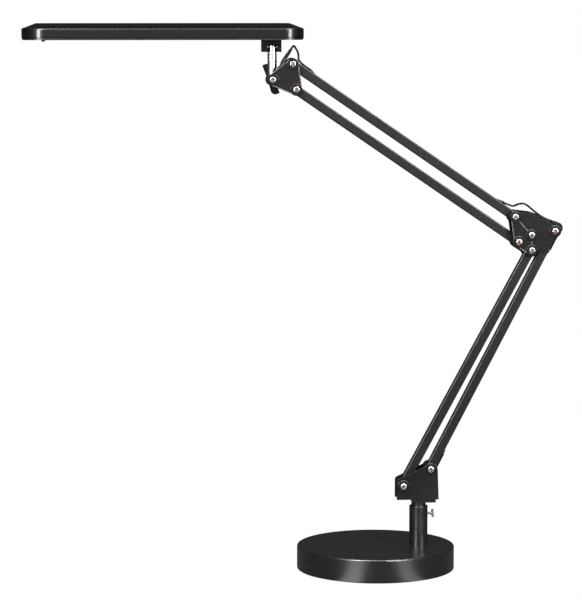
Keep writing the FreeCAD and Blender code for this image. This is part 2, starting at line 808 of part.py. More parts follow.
# ---------------------------------------------------------------- arm bars
def make_bar(name, start, length, angle, slots=(), open_end=False):
    """A square steel tube from a pivot, with round ends, bush holes, and slots in its -Z side for the lead.

    It is made along +X from its first pivot and then turned up about Y.
    """
    half = "Sizes.bar_width / 2"
    body = doc.addObject("PartDesign::Body", unique("Bar"))
    profile = polygon(
        body,
        unique("BarProfile"),
        "YZ_Plane",
        [("-" + half, "-" + half), (half, "-" + half), (half, half), ("-" + half, half)],
    )
    pad = body.newObject("PartDesign::Pad", unique("BarPad"))
    pad.Profile = profile
    bind(pad, Length=length + " + Sizes.bar_width")
    doc.recompute()
    long_edges = [
        "Edge%d" % (i + 1)
        for i, edge in enumerate(pad.Shape.Edges)
        if abs(edge.tangentAt(edge.FirstParameter).x) > 0.9
    ]
    corner = body.newObject("PartDesign::Fillet", unique("BarCorner"))
    corner.Base = (pad, long_edges)
    bind(corner, Radius="Sizes.bar_corner")
    body.Tip = corner
    bind(body, Placement__Base__x="-" + half)
    doc.recompute()
    inner = "(Sizes.bar_width - 2 * Sizes.bar_wall)"
    bore = box(length + " + 2 * Sizes.bar_width", inner, inner, "-Sizes.bar_width", "-%s / 2" % inner, "-%s / 2" % inner)
    ends = fuse(
        box(length, "2 * Sizes.bar_width", "2 * Sizes.bar_width", "0", "-Sizes.bar_width", "-Sizes.bar_width"),
        cylinder(half, "2 * Sizes.bar_width", "0", "-Sizes.bar_width", "0", "y"),
        cylinder(half, "2 * Sizes.bar_width", length, "-Sizes.bar_width", "0", "y"),
    )
    near = "Sizes.bush_diameter / 2 + Sizes.running_clearance"
    far = near + " + Sizes.open_pivot_clearance" if open_end else near
    tools = [
        bore,
        cylinder(near, "2 * Sizes.bar_width", "0", "-Sizes.bar_width", "0", "y"),
        cylinder(far, "2 * Sizes.bar_width", length, "-Sizes.bar_width", "0", "y"),
    ]
    for slot in slots:
        tools.append(
            box(
                "Sizes.lead_slot_length",
                "Sizes.lead_slot_width",
                "Sizes.bar_width",
                slot,
                "-Sizes.lead_slot_width / 2",
                "-Sizes.bar_width",
            )
        )
    bar = cut(common(body, ends), *tools)
    turned(bar, Vector(0, -1, 0), angle)
    x, z = point(start)
    return node(name, at(bar, x, "0", z))


def make_bars():
    """Two parallel bars for each arm. One bar of each arm carries the lead inside."""
    near = "Sizes.lead_slot_start"
    far_lower = "Sizes.lower_length - Sizes.lead_slot_start - Sizes.lead_slot_length"
    far_upper = "Sizes.upper_length - Sizes.lead_slot_start - Sizes.lead_slot_length"
    make_bar(
        "lower_right_bar", "base_right", "Sizes.lower_length", "Sizes.lower_right_angle", (near, far_lower)
    )
    make_bar("lower_left_bar", "base_left", "Sizes.lower_length", "Sizes.lower_left_angle", open_end=True)
    # Turned past upright, the upper bar's slotted side faces up.
    make_bar("upper_top_bar", "elbow_top", "Sizes.upper_length", "Sizes.upper_angle", (near, far_upper))
    make_bar("upper_bottom_bar", "elbow_mid", "Sizes.upper_length", "Sizes.upper_angle", open_end=True)


# ---------------------------------------------------------------- elbow
def make_elbow():
    """The joint between the two arms: a long back sheet, and a front cheek laid over a front wing.

    The wing's lower part, its skirt, is pressed a step back and covers the end of the right bar.
    """
    round_boss = "Sizes.boss_radius"
    nose = [
        ("nose_left", "Sizes.nose_margin", "Sizes.nose_margin"),
        ("nose_right", "Sizes.nose_margin", "Sizes.nose_margin"),
        ("elbow_right", "Sizes.nose_margin", "Sizes.nose_margin"),
    ]
    back = [
        ("elbow_top", "Sizes.back_top_margin", "Sizes.back_top_margin"),
        ("crown_near", "Sizes.back_top_margin", "Sizes.back_top_margin"),
        ("crown_far", "Sizes.back_top_margin", "Sizes.back_top_margin"),
        ("elbow_right", "Sizes.nose_margin", "Sizes.nose_margin"),
        ("elbow_left", "Sizes.back_heel_radius", "Sizes.back_low_margin"),
        ("elbow_mid", "Sizes.back_low_margin", "Sizes.back_left_margin"),
    ]
    pivots = ("elbow_top", "elbow_mid", "elbow_brace", "elbow_left", "elbow_right")
    pieces = sheet(back, "Places.cheek_y", "Places.outer_y") + sheet(nose, "Places.cheek_y", "Places.outer_y")
    bosses = [boss(pivot, "Places.outer_y", False) for pivot in pivots]
    node("elbow_back_plate", cut(fuse(*pieces, *bosses), *bolt_holes(*pivots)))

    wing = [
        ("elbow_top", "Sizes.wing_margin", "Sizes.wing_margin"),
        ("crown_near", "Sizes.wing_margin", "Sizes.wing_margin"),
        ("crown_far", "Sizes.wing_margin", "Sizes.wing_margin"),
        ("elbow_right", "Sizes.nose_margin", "0"),
        ("elbow_brace", "Sizes.wing_margin", "0"),
    ]
    pieces = sheet(wing, "-Places.outer_y", "-Places.cheek_y") + sheet(nose, "-Places.outer_y", "-Places.cheek_y")
    pieces.append(boss("elbow_right", "-Places.outer_y", True))
    skirt = [
        ("elbow_right", "Sizes.nose_margin", "Sizes.skirt_margin"),
        ("skirt_tip", "Sizes.skirt_margin", "Sizes.skirt_margin"),
        ("elbow_left", round_boss, "0"),
        ("elbow_brace", "Sizes.wing_margin", "0"),
    ]
    pieces += sheet(skirt, "Sizes.skirt_step - Places.outer_y", "-Places.cheek_y")
    bush_way = across(
        "Sizes.bush_flange_diameter / 2 + Sizes.fit_clearance", "elbow_left", "-Places.front_y", "-Places.cheek_y / 2"
    )
    holes = bolt_holes("elbow_top", "elbow_brace", "elbow_right")
    node("elbow_front_wing", cut(fuse(*pieces), bush_way, *holes))

    cheek = [
        ("elbow_top", round_boss, "0"),
        ("elbow_brace", round_boss, "0"),
        ("elbow_left", round_boss, "Sizes.cheek_margin"),
        ("elbow_mid", round_boss, "Sizes.cheek_margin"),
    ]
    pivots = ("elbow_top", "elbow_mid", "elbow_brace", "elbow_left")
    pieces = sheet(cheek, "-Places.front_y", "-Places.outer_y")
    pieces += rims(cheek, "-Places.front_y", "-Places.front_y - Sizes.rim_height")
    pieces += [boss(pivot, "-Places.front_y", True) for pivot in pivots]
    node("elbow_front_cheek", cut(fuse(*pieces), *bolt_holes(*pivots)))

    rod = across("Sizes.spacer_diameter / 2", "elbow_brace", "-Places.cheek_y", "Places.cheek_y")
    node("elbow_spacer", cut(rod, *bolt_holes("elbow_brace")))


# ---------------------------------------------------------------- head bracket, rod and knob
def make_head_bracket():
    """Two three-cornered plates that hold the upper bars and clamp the tilting hub."""
    pivots = ("tilt", "head_top", "head_low")
    chain = [(pivot, "Sizes.boss_radius", "Sizes.head_margin") for pivot in pivots]
    for name, side in (("head_front_plate", "-"), ("head_back_plate", "")):
        outer = side + "Places.outer_y"
        pieces = sheet(chain, side + "Places.cheek_y", outer)
        pieces += rims(chain, outer, "%s %s Sizes.rim_height" % (outer, side or "+"))
        pieces += [boss(pivot, outer, side == "-") for pivot in pivots]
        node(name, cut(fuse(*pieces), *bolt_holes(*pivots)))


def exit_box(length, spare, start):
    """A box for the lead's exit from the rod, spare smaller all round than the exit."""
    return box(
        length,
        "Sizes.exit_width - 2 * (%s)" % spare,
        "Sizes.exit_height - 2 * (%s)" % spare,
        start,
        "-Sizes.exit_width / 2 + (%s)" % spare,
        "Places.exit_z - Sizes.exit_height / 2 + (%s)" % spare,
    )


def make_rod():
    """The hub that tilts between the plates, the hollow chrome rod, its grommet, and the knuckle on top."""
    x = "Places.tilt_x"
    radius = "Sizes.rod_diameter / 2"
    half_gap = "(Places.cheek_y - Sizes.hub_side_gap)"
    seat = "(Places.tilt_z + Sizes.rod_seat)"
    hub = across("Sizes.hub_radius", "tilt", "-" + half_gap, half_gap)
    bolt_way = across(
        "Sizes.bolt_diameter / 2 + Sizes.running_clearance", "tilt", "-Places.outer_y", "Places.outer_y"
    )
    node("tilt_hub", cut(hub, bolt_way, cylinder(radius, "Sizes.hub_radius", x, z=seat)))

    rod = cylinder(radius, "Sizes.rod_length - Sizes.rod_seat", x, z=seat)
    bore = cylinder("Sizes.rod_bore / 2", "Sizes.rod_length", x, z="Places.tilt_z + Sizes.hub_radius")
    window = exit_box("Sizes.rod_diameter", "0", x)
    node("head_rod", cut(rod, bore, window))

    wall = "(Sizes.exit_width - Sizes.lead_width) / 4"
    block = exit_box(
        "(Sizes.rod_diameter - Sizes.rod_bore) / 2 + Sizes.exit_stand",
        "Sizes.fit_clearance",
        "Places.tilt_x + Sizes.rod_bore / 2",
    )
    throat = exit_box("Sizes.rod_diameter", wall, x)
    node("rod_grommet", cut(block, throat))

    stem = cylinder(radius, "Sizes.knuckle_rise - Sizes.knuckle_gap", x, z="Places.swivel_z + Sizes.knuckle_gap")
    spigot = cylinder(
        "Sizes.rod_bore / 2 - Sizes.running_clearance",
        "Sizes.knuckle_spigot + Sizes.knuckle_gap",
        x,
        z="Places.swivel_z - Sizes.knuckle_spigot",
    )
    ball = doc.addObject("Part::Sphere", unique("Sphere"))
    bind(ball, Radius=radius)
    at(ball, x, "0", "Places.roll_z")
    knuckle_bore = cylinder(
        "Sizes.knuckle_bore / 2", "2 * Sizes.knuckle_spigot", x, z="Places.swivel_z - Sizes.knuckle_spigot"
    )
    fork_gap = box(
        "Sizes.knuckle_bore",
        "Sizes.knuckle_slot",
        "2 * Sizes.knuckle_rise",
        "Places.tilt_x - Sizes.knuckle_bore / 2",
        "-Sizes.knuckle_slot / 2",
        "Places.roll_z - Sizes.knuckle_rise / 2",
    )
    pin_way = cylinder(
        "Sizes.pin_diameter / 2 + Sizes.running_clearance",
        "2 * Sizes.rod_diameter",
        "Places.tilt_x - Sizes.rod_diameter",
        z="Places.roll_z",
        axis="x",
    )
    node("rod_knuckle", cut(fuse(stem, spigot, ball), fork_gap, knuckle_bore, pin_way))


def make_wing_knob():
    """The two-winged knob behind the tilt pivot. Its blades widen towards their tips."""
    body = doc.addObject("PartDesign::Body", "WingKnob")
    tip = "Sizes.knob_span / 2"
    half = "Sizes.knob_wing_width / 2"
    root = "Sizes.knob_root / 2"
    outline = polygon(
        body,
        "WingOutline",
        "XZ_Plane",
        [
            ("-" + tip, "-" + half),
            ("0", "-" + root),
            (tip, "-" + half),
            (tip, half),
            ("0", root),
            ("-" + tip, half),
        ],
    )
    pad = body.newObject("PartDesign::Pad", "WingPad")
    pad.Profile = outline
    pad.Reversed = True
    bind(pad, Length="Sizes.knob_wing_depth")
    tips = pad
    for name, radius, leading in (
        ("LeadingTips", "Sizes.knob_wing_round", True),
        ("SweptTips", "Sizes.knob_wing_sweep", False),
    ):
        doc.recompute()
        chosen = []
        for i, edge in enumerate(tips.Shape.Edges):
            middle = edge.CenterOfMass
            upright = abs(edge.tangentAt(edge.FirstParameter).y) > 0.9
            if upright and abs(middle.x) > value("knob_span") / 2 - 0.01 and (middle.x * middle.z > 0) == leading:
                chosen.append("Edge%d" % (i + 1))
        fillet = body.newObject("PartDesign::Fillet", name)
        fillet.Base = (tips, chosen)
        bind(fillet, Radius=radius)
        tips = fillet
    body.Tip = tips
    bind(body, Placement__Base__y="Sizes.knob_hub_depth - Sizes.knob_wing_depth")
    hub = cylinder("Sizes.knob_hub_diameter / 2", "Sizes.knob_hub_depth", axis="y")
    thread = cylinder(
        "Sizes.bolt_diameter / 2 + Sizes.running_clearance",
        "Sizes.knob_hub_depth - Sizes.knob_cap",
        axis="y",
    )
    knob = cut(fuse(body, hub), thread)
    turned(knob, Vector(0, -1, 0), "Sizes.knob_angle")
    at(knob, "Places.tilt_x", "Places.knob_y", "Places.tilt_z")
    node("wing_knob", knob)


def make_yoke():
    """The slotted block under the lamp head, with two stub pins and their friction washers."""
    left = "(Places.yoke_x - Sizes.yoke_width / 2)"
    bottom = "(Places.head_z - Sizes.yoke_height)"
    block = box("Sizes.yoke_width", "Sizes.yoke_depth", "Sizes.yoke_height", left, "-Sizes.yoke_depth / 2", bottom)
    reach = "(Sizes.rod_diameter / 2 + Sizes.yoke_side_gap)"
    slot = box(
        "2 * " + reach,
        "2 * Sizes.yoke_depth",
        "Sizes.yoke_height",
        "Places.tilt_x - " + reach,
        "-Sizes.yoke_depth",
        "Places.roll_z + Sizes.yoke_slot_rise - Sizes.yoke_height",
    )
    pocket = box(
        "2 * " + reach,
        "Sizes.rod_diameter + 2 * Sizes.yoke_ball_gap",
        "Sizes.yoke_height",
        "Places.tilt_x - " + reach,
        "-Sizes.rod_diameter / 2 - Sizes.yoke_ball_gap",
        bottom + " - Sizes.yoke_roof",
    )
    pin_way = cylinder(
        "Sizes.pin_diameter / 2 + Sizes.fit_clearance",
        "2 * Sizes.yoke_width",
        "Places.yoke_x - Sizes.yoke_width",
        "0",
        "Places.roll_z",
        "x",
    )
    cable_way = cylinder("Sizes.knuckle_bore / 2", "2 * Sizes.yoke_height", "Places.tilt_x", "0", bottom)
    soft = rounded(block, value("yoke_round"), lambda edge: abs(edge.tangentAt(edge.FirstParameter).z) > 0.9)
    node("head_yoke", cut(soft, slot, pocket, pin_way, cable_way))

    inset = "Sizes.pin_end_gap"
    fork = "Sizes.knuckle_bore / 2"
    pin_radius = "Sizes.pin_diameter / 2"
    pins = [
        cylinder(
            pin_radius,
            "Sizes.yoke_width / 2 - Sizes.yoke_shift - %s - 2 * %s" % (fork, inset),
            "%s + %s" % (left, inset),
            z="Places.roll_z",
            axis="x",
        ),
        cylinder(
            pin_radius,
            "Sizes.yoke_width / 2 + Sizes.yoke_shift - %s - 2 * %s" % (fork, inset),
            "Places.tilt_x + %s + %s" % (fork, inset),
            z="Places.roll_z",
            axis="x",
        ),
    ]
    node("yoke_pins", group(*pins))

    ball = "(Sizes.rod_diameter / 2 + Sizes.yoke_washer_gap)"
    thickness = "(Sizes.yoke_side_gap - Sizes.yoke_washer_gap - Sizes.yoke_washer_play)"
    washers = []
    for start in ("Places.tilt_x - %s - %s" % (ball, thickness), "Places.tilt_x + " + ball):
        washer = cylinder("Sizes.yoke_washer_diameter / 2", thickness, start, z="Places.roll_z", axis="x")
        hole = cylinder(
            pin_radius + " + Sizes.fit_clearance", thickness, start, z="Places.roll_z", axis="x"
        )
        washers.append(cut(washer, hole))
    node("yoke_washers", group(*washers))


# ---------------------------------------------------------------- lamp head
def slab(name, length, width, corner, height, x, z):
    """A level plate with round corners, centred on x and on y 0, standing on z."""
    body = doc.addObject("PartDesign::Body", unique(name))
    profile = polygon(
        body,
        unique(name + "Outline"),
        "XY_Plane",
        [
            ("-(%s) / 2" % length, "-(%s) / 2" % width),
            ("(%s) / 2" % length, "-(%s) / 2" % width),
            ("(%s) / 2" % length, "(%s) / 2" % width),
            ("-(%s) / 2" % length, "(%s) / 2" % width),
        ],
    )
    pad = body.newObject("PartDesign::Pad", unique(name + "Pad"))
    pad.Profile = profile
    bind(pad, Length=height)
    doc.recompute()
    uprights = [
        "Edge%d" % (i + 1)
        for i, edge in enumerate(pad.Shape.Edges)
        if abs(edge.tangentAt(edge.FirstParameter).z) > 0.9
    ]
    fillet = body.newObject("PartDesign::Fillet", unique(name + "Corners"))
    fillet.Base = (pad, uprights)
    bind(fillet, Radius=corner)
    body.Tip = fillet
    doc.recompute()
    return at(body, x, "0", z)


def bevelled(body, run, rise):
    """Bevels the top edge of a slab: run inwards, rise downwards."""
    fillet = body.Tip
    top = fillet.Shape.BoundBox.ZMax
    face = [
        "Face%d" % (i + 1) for i, f in enumerate(fillet.Shape.Faces) if f.BoundBox.ZMin > top - 1e-6
    ]
    chamfer = body.newObject("PartDesign::Chamfer", unique("Bevel"))
    chamfer.Base = (fillet, face)
    chamfer.ChamferType = "Two distances"
    bind(chamfer, Size=rise, Size2=run)
    body.Tip = chamfer
    doc.recompute()
    if chamfer.Shape.common(Part.makeBox(1, 1, 0.1, Vector(-0.5, -0.5, top - 0.1))).Volume < 0.09:
        raise RuntimeError("the bevel took the flat top away")
    return body


def make_head():
    """Shell, bezel, diffuser, LED board with its chips, driver, and the button with its switch."""
    length = "Places.head_length"
    depth = "Sizes.head_depth"
    wall = "Sizes.head_wall"
    mid = "Places.head_mid_x"
    shell_z = "Places.head_z + Sizes.bezel_height"
    outer = bevelled(
        slab("Shell", length, depth, "Sizes.head_corner", "Sizes.head_height - Sizes.bezel_height", mid, shell_z),
        "Sizes.bevel_run",
        "Sizes.bevel_rise",
    )
    inner = bevelled(
        slab(
            "ShellRoom",
            length + " - 2 * " + wall,
            depth + " - 2 * " + wall,
            "Sizes.head_corner - " + wall,
            "Sizes.head_height - Sizes.bezel_height - " + wall,
            mid,
            shell_z,
        ),
        "Sizes.bevel_run",
        "Sizes.bevel_rise",
    )
    node("head_shell", cut(outer, inner))

    rim = slab(
        "Bezel",
        length + " - 2 * Sizes.bezel_inset",
        depth + " - 2 * Sizes.bezel_inset",
        "Sizes.head_corner - Sizes.bezel_inset",
        "Sizes.bezel_height",
        mid,
        "Places.head_z",
    )
    through = "4 * Sizes.bezel_height"
    under = "Places.head_z - Sizes.bezel_height"
    opening = "(%s - Sizes.button_border - Sizes.yoke_border)" % length
    opening_depth = "(%s - 2 * Sizes.bezel_border)" % depth
    middle = mid + " + (Sizes.button_border - Sizes.yoke_border) / 2"
    window = slab("Window", opening, opening_depth, "Sizes.window_corner", through, middle, under)
    button_way = cylinder(
        "Sizes.button_diameter / 2 + Sizes.button_gap", through, "Places.button_x", z=under
    )
    cable_way = cylinder("Sizes.knuckle_bore / 2", through, "Places.tilt_x", z=under)
    node("head_bezel", cut(rim, window, button_way, cable_way))

    lapped = "(%s + 2 * Sizes.diffuser_lap)" % opening
    lapped_depth = "(%s + 2 * Sizes.diffuser_lap)" % opening_depth
    thickness = "Sizes.diffuser_thickness"
    node("diffuser", slab("Diffuser", lapped, lapped_depth, "Sizes.window_corner", thickness, middle, shell_z))

    def tray(across_x, across_y, height, z):
        return box(across_x, across_y, height, "%s - %s / 2" % (middle, across_x), "-%s / 2" % across_y, z)

    frame_z = "(%s + %s)" % (shell_z, thickness)
    board_z = "(%s + Sizes.board_gap)" % frame_z
    room = "(%s - 2 * Sizes.light_box_wall)" % lapped
    room_depth = "(%s - 2 * Sizes.light_box_wall)" % lapped_depth
    walls = tray(lapped, lapped_depth, "Sizes.board_gap", frame_z)
    node("light_box", cut(walls, tray(room, room_depth, "3 * Sizes.board_gap", "Places.head_z")))
    board = "(%s - 2 * Sizes.board_side_gap)" % lapped
    board_depth = "(%s - 2 * Sizes.board_side_gap)" % lapped_depth
    node("led_board", tray(board, board_depth, "Sizes.board_thickness", board_z))

    chips = []
    columns, rows = int(value("led_columns")), int(value("led_rows"))
    for column in range(columns):
        for row in range(rows):
            x = "%s + %s * ((%d + 0.5) / %d - 0.5)" % (middle, opening, column, columns)
            y = "%s * ((%d + 0.5) / %d - 0.5)" % (opening_depth, row, rows)
            chips.append(
                box(
                    "Sizes.led_width",
                    "Sizes.led_depth",
                    "Sizes.led_height",
                    x + " - Sizes.led_width / 2",
                    y + " - Sizes.led_depth / 2",
                    board_z + " - Sizes.led_height",
                )
            )
    node("led_chips", group(*chips))

    driver = box(
        "Sizes.driver_length",
        "Sizes.driver_depth",
        "Sizes.driver_height",
        "Places.tilt_x - Sizes.driver_offset - Sizes.driver_length",
        "-Sizes.driver_depth / 2",
        board_z + " + Sizes.board_thickness",
    )
    node("driver_board", driver)
    make_button(shell_z)


def make_button(floor):
    """The push button, whose collar keeps it in, and the switch that stands over it on the bezel."""
    x = "Places.button_x"
    bottom = "Places.head_z - Sizes.button_drop"
    neck = "(Sizes.button_drop + Sizes.bezel_height + Sizes.button_collar)"
    cap = cylinder("Sizes.button_diameter / 2", neck, x, z=bottom)
    cap_round = rounded(cap, value("button_round"), ring_at(value("head_z") - value("button_drop")))
    collar_radius = "Sizes.button_diameter / 2 + Sizes.button_collar"
    collar_z = "(%s + Sizes.button_gap)" % floor
    collar = cylinder(collar_radius, "Sizes.button_collar - Sizes.button_gap", x, z=collar_z)
    node("power_button", fuse(cap_round, collar))
    room = "(Sizes.button_collar + Sizes.button_travel + Sizes.button_gap)"
    case = box(
        "Sizes.switch_width",
        "Sizes.switch_width",
        room + " + Sizes.switch_roof",
        "Places.button_x - Sizes.switch_width / 2",
        "-Sizes.switch_width / 2",
        floor,
    )
    well = cylinder(collar_radius + " + Sizes.button_gap", room, x, z=floor)
    node("button_switch", cut(case, well))


# ---------------------------------------------------------------- bushes and fasteners
def along_y(shape, name):
    """Names a template that is made along +Y, and brings it up to date."""
    shape.Label = name
    doc.recompute()
    return shape


def make_bolt(name, grip):
    """A pan-head bolt with a cross recess, its head's underside at y 0."""
    head = doc.addObject("Part::Cylinder", unique("Head"))
    bind(head, Radius="Sizes.bolt_head_diameter / 2", Height="Sizes.bolt_head_height")
    turned(head, X_AXIS, "-90")
    at(head, y="-Sizes.bolt_head_height")

    def front_edge(edge):
        return isinstance(edge.Curve, Part.Circle) and edge.CenterOfMass.y < -value("bolt_head_height") / 2

    crown = rounded(head, value("bolt_head_round"), front_edge)
    shank = cylinder("Sizes.bolt_diameter / 2", grip, axis="y")
    slots = []
    for wide, high in (
        ("Sizes.cross_width", "Sizes.cross_length"),
        ("Sizes.cross_length", "Sizes.cross_width"),
    ):
        start = "-Sizes.bolt_head_height - Sizes.cross_depth"
        slots.append(box(wide, "2 * Sizes.cross_depth", high, "-%s / 2" % wide, start, "-%s / 2" % high))
    return along_y(cut(fuse(crown, shank), *slots), name)


def bolt_bore():
    """The bore of a nut or a bush."""
    radius = "Sizes.bolt_diameter / 2 + Sizes.fit_clearance"
    return cylinder(radius, "2 * Sizes.plate_gap", y="-Sizes.plate_gap", axis="y")


def make_nut(name):
    """A plain hexagon nut."""
    prism = doc.addObject("Part::Prism", unique("NutPrism"))
    prism.Polygon = 6
    bind(prism, Circumradius="Sizes.bolt_nut_flats / sqrt(3)", Height="Sizes.bolt_nut_thickness")
    turned(prism, X_AXIS, "-90")
    return along_y(cut(prism, bolt_bore()), name)


def make_bush(name, flange):
    """Half of a friction bush: its flange fills the way from a plate to a bar, its spigot enters the bar."""
    wide = cylinder("Sizes.bush_flange_diameter / 2", flange, axis="y")
    reach = "Sizes.bush_side_gap + (Sizes.bar_width - Sizes.bush_middle_gap) / 2"
    thin = cylinder("Sizes.bush_diameter / 2", "%s + %s" % (flange, reach), axis="y")
    return along_y(cut(fuse(wide, thin), bolt_bore()), name)


def copies(name, placed_shapes):
    """A node of copies of templates. Each is turned about its axis, or round to face +Y, and moved."""
    obj = doc.addObject("Part::Feature", unique("Copies"))
    shapes = []
    for template, place, axis, angle in placed_shapes:
        shape = template.Shape.copy()
        shape.rotate(Vector(0, 0, 0), axis, angle)
        shape.translate(Vector(*place))
        shapes.append(shape)
    obj.Shape = Part.makeCompound(shapes)
    return node(name, obj)


def make_fasteners():
    """Bolts, nuts and bushes at every pivot, one node for each joint's set."""
    boss_face = value("outer_y") + value("boss_height")
    cheek_face = value("front_y") + value("boss_height")
    tail = "Sizes.bolt_nut_thickness + Sizes.bolt_tail"
    flange = "(Sizes.plate_gap - Sizes.bar_width) / 2 - Sizes.bush_side_gap"
    bush = make_bush("bush_template", flange)
    nut = make_nut("nut_template")
    plain = make_bolt("bolt_template", "2 * (Places.outer_y + Sizes.boss_height) + " + tail)
    faced = make_bolt(
        "long_bolt_template", "2 * (Places.outer_y + Sizes.boss_height) + Sizes.cheek_thickness + " + tail
    )
    knobbed = make_bolt(
        "knob_bolt_template",
        "Places.outer_y + Sizes.boss_height + Places.knob_y + Sizes.knob_hub_depth - 2 * Sizes.knob_cap",
    )

    def spot(pivot, y):
        return value(pivot + "_x"), y, value(pivot + "_z")

    def bushes(name, pivots):
        front = [(bush, spot(pivot, -value("cheek_y")), Y_AXIS, 0) for pivot in pivots]
        back = [(bush, spot(pivot, value("cheek_y")), Z_AXIS, 180) for pivot in pivots]
        return copies(name, front + back)

    def bolts(name, template, face, *turns):
        return copies(name, [(template, spot(pivot, -face), Y_AXIS, angle) for pivot, angle in turns])

    def nuts(name, *turns):
        return copies(name, [(nut, spot(pivot, boss_face), Y_AXIS, angle) for pivot, angle in turns])

    bushes("base_bushes", ("base_left", "base_right"))
    bolts("base_bolts", plain, boss_face, ("base_left", 20), ("base_right", 65))
    nuts("base_nuts", ("base_left", 10), ("base_right", 35))

    tall = make_bush("tall_bush_template", flange + " + Sizes.plate_thickness")
    elbow = [(bush, spot(pivot, -value("cheek_y")), Y_AXIS, 0) for pivot in ("elbow_top", "elbow_right")]
    elbow += [(tall, spot(pivot, -value("outer_y")), Y_AXIS, 0) for pivot in ("elbow_mid", "elbow_left")]
    for pivot in ("elbow_top", "elbow_mid", "elbow_left", "elbow_right"):
        elbow.append((bush, spot(pivot, value("cheek_y")), Z_AXIS, 180))
    copies("elbow_bushes", elbow)
    bolts(
        "elbow_bolts",
        faced,
        cheek_face,
        ("elbow_top", 25),
        ("elbow_mid", 10),
        ("elbow_brace", 50),
        ("elbow_left", 70),
    )
    bolts("elbow_nose_bolt", plain, boss_face, ("elbow_right", 0))
    nuts(
        "elbow_nuts",
        ("elbow_top", 0),
        ("elbow_mid", 17),
        ("elbow_brace", 34),
        ("elbow_left", 51),
        ("elbow_right", 8),
    )

    bushes("head_bushes", ("head_top", "head_low"))
    bolts("head_bolts", plain, boss_face, ("head_top", 5), ("head_low", 40))
    nuts("head_nuts", ("head_top", 12), ("head_low", 50))
    bolts("tilt_bolt", knobbed, boss_face, ("tilt", 30))


def make_thumb_screw():
    """The wing screw that clamps the neck in the tube."""
    start = "(Places.bore_radius + Sizes.thumb_tip_gap)"
    stem_end = "(Sizes.tube_diameter / 2 + Sizes.thumb_stem)"
    stem = cylinder(
        "Sizes.thumb_thread / 2",
        "%s - %s + Sizes.thumb_wing_depth / 2" % (stem_end, start),
        "Sizes.post_offset + " + start,
        z="Places.thumb_z",
        axis="x",
    )
    wings = box(
        "Sizes.thumb_wing_depth",
        "Sizes.thumb_wing_span",
        "Sizes.thumb_wing_width",
        "Sizes.post_offset + " + stem_end,
        "-Sizes.thumb_wing_span / 2",
        "Places.thumb_z - Sizes.thumb_wing_width / 2",
    )
    soft = rounded(
        wings, value("thumb_wing_round"), lambda edge: abs(edge.tangentAt(edge.FirstParameter).x) > 0.9
    )
    node("thumb_screw", fuse(stem, soft))


# ---------------------------------------------------------------- lead
LOWER_SLOTS = ((25.0, 6.95), (24.9, 6.95))
UPPER_SLOTS = ((25.0, 6.95), (25.0, 6.95))
IN_BASE = [(0.0, 0.0, 1.7), (0.0, 0.0, -14.0), (-12.0, 0.0, -18.8), (-27.0, 0.0, -19.6),
           (-42.0, 13.0, -19.8), (-51.0, 44.0, -19.4), (-55.0, 76.0, -16.0), (-55.0, 99.0, -15.9)]
BASE_BEND = [(-14.3, 0.0, -35.1), (-14.1, 0.0, -30.7), (-9.3, 0.0, -25.4), (-2.0, 0.0, -18.3),
             (3.7, 0.0, -9.9), (7.1, 0.0, -1.9), (10.9, 0.0, 6.0), (14.8, 0.0, 13.5),
             (17.3, 0.0, 18.3)]
ELBOW_LOWER = [(-4.9, 0.0, -24.59), (-1.1, 0.0, -17.19), (2.9, 0.0, -9.49), (7.4, 0.0, -1.99),
               (8.1, 0.0, 4.91), (2.1, 0.0, 10.41), (-11.2, 0.0, 15.11), (-21.5, 0.0, 21.51),
               (-30.1, 0.0, 28.91)]
ELBOW_UPPER = [(20.7, 0.0, 10.76), (15.6, 0.0, 15.21), (10.4, 0.0, 16.41), (4.2, 0.0, 15.11),
               (-1.1, 0.0, 12.41), (-6.2, 0.0, 14.71), (-11.4, 0.0, 16.31), (-16.05, 0.0, 19.41)]
HEAD_FALL = [(24.3, 0.0, -8.22), (19.1, 0.0, -4.62), (13.2, 0.0, -0.62), (7.8, 0.0, 5.18),
             (8.4, 0.0, 11.58), (7.1, 0.0, 15.18)]
HEAD_RISE = [(31.85, 0.0, 34.88), (29.9, 0.0, 38.18), (26.9, 0.0, 43.18), (23.7, 0.0, 37.38),
             (18.4, 0.0, 29.58), (12.6, 0.0, 21.38), (11.2, 0.0, 15.38), (9.7, 0.0, 13.08),
             (6.2, 0.0, 12.8)]
IN_ROD = [(5.9, 0.0, 0.0), (0.4, 0.0, 0.58), (0.0, 0.0, 5.98), (0.0, 0.0, 10.88)]
HEAD_TAIL = [(0.0, 0.0, -13.02), (0.0, 0.0, 0.98), (-1.6, 0.0, 10.98), (-11.4, 0.0, 15.28),
             (-27.8, 0.0, 15.38)]


def placed(across, up, route):
    """A route given from a place on the lamp."""
    return [(value(across) + x, y, value(up) + z) for x, y, z in route]


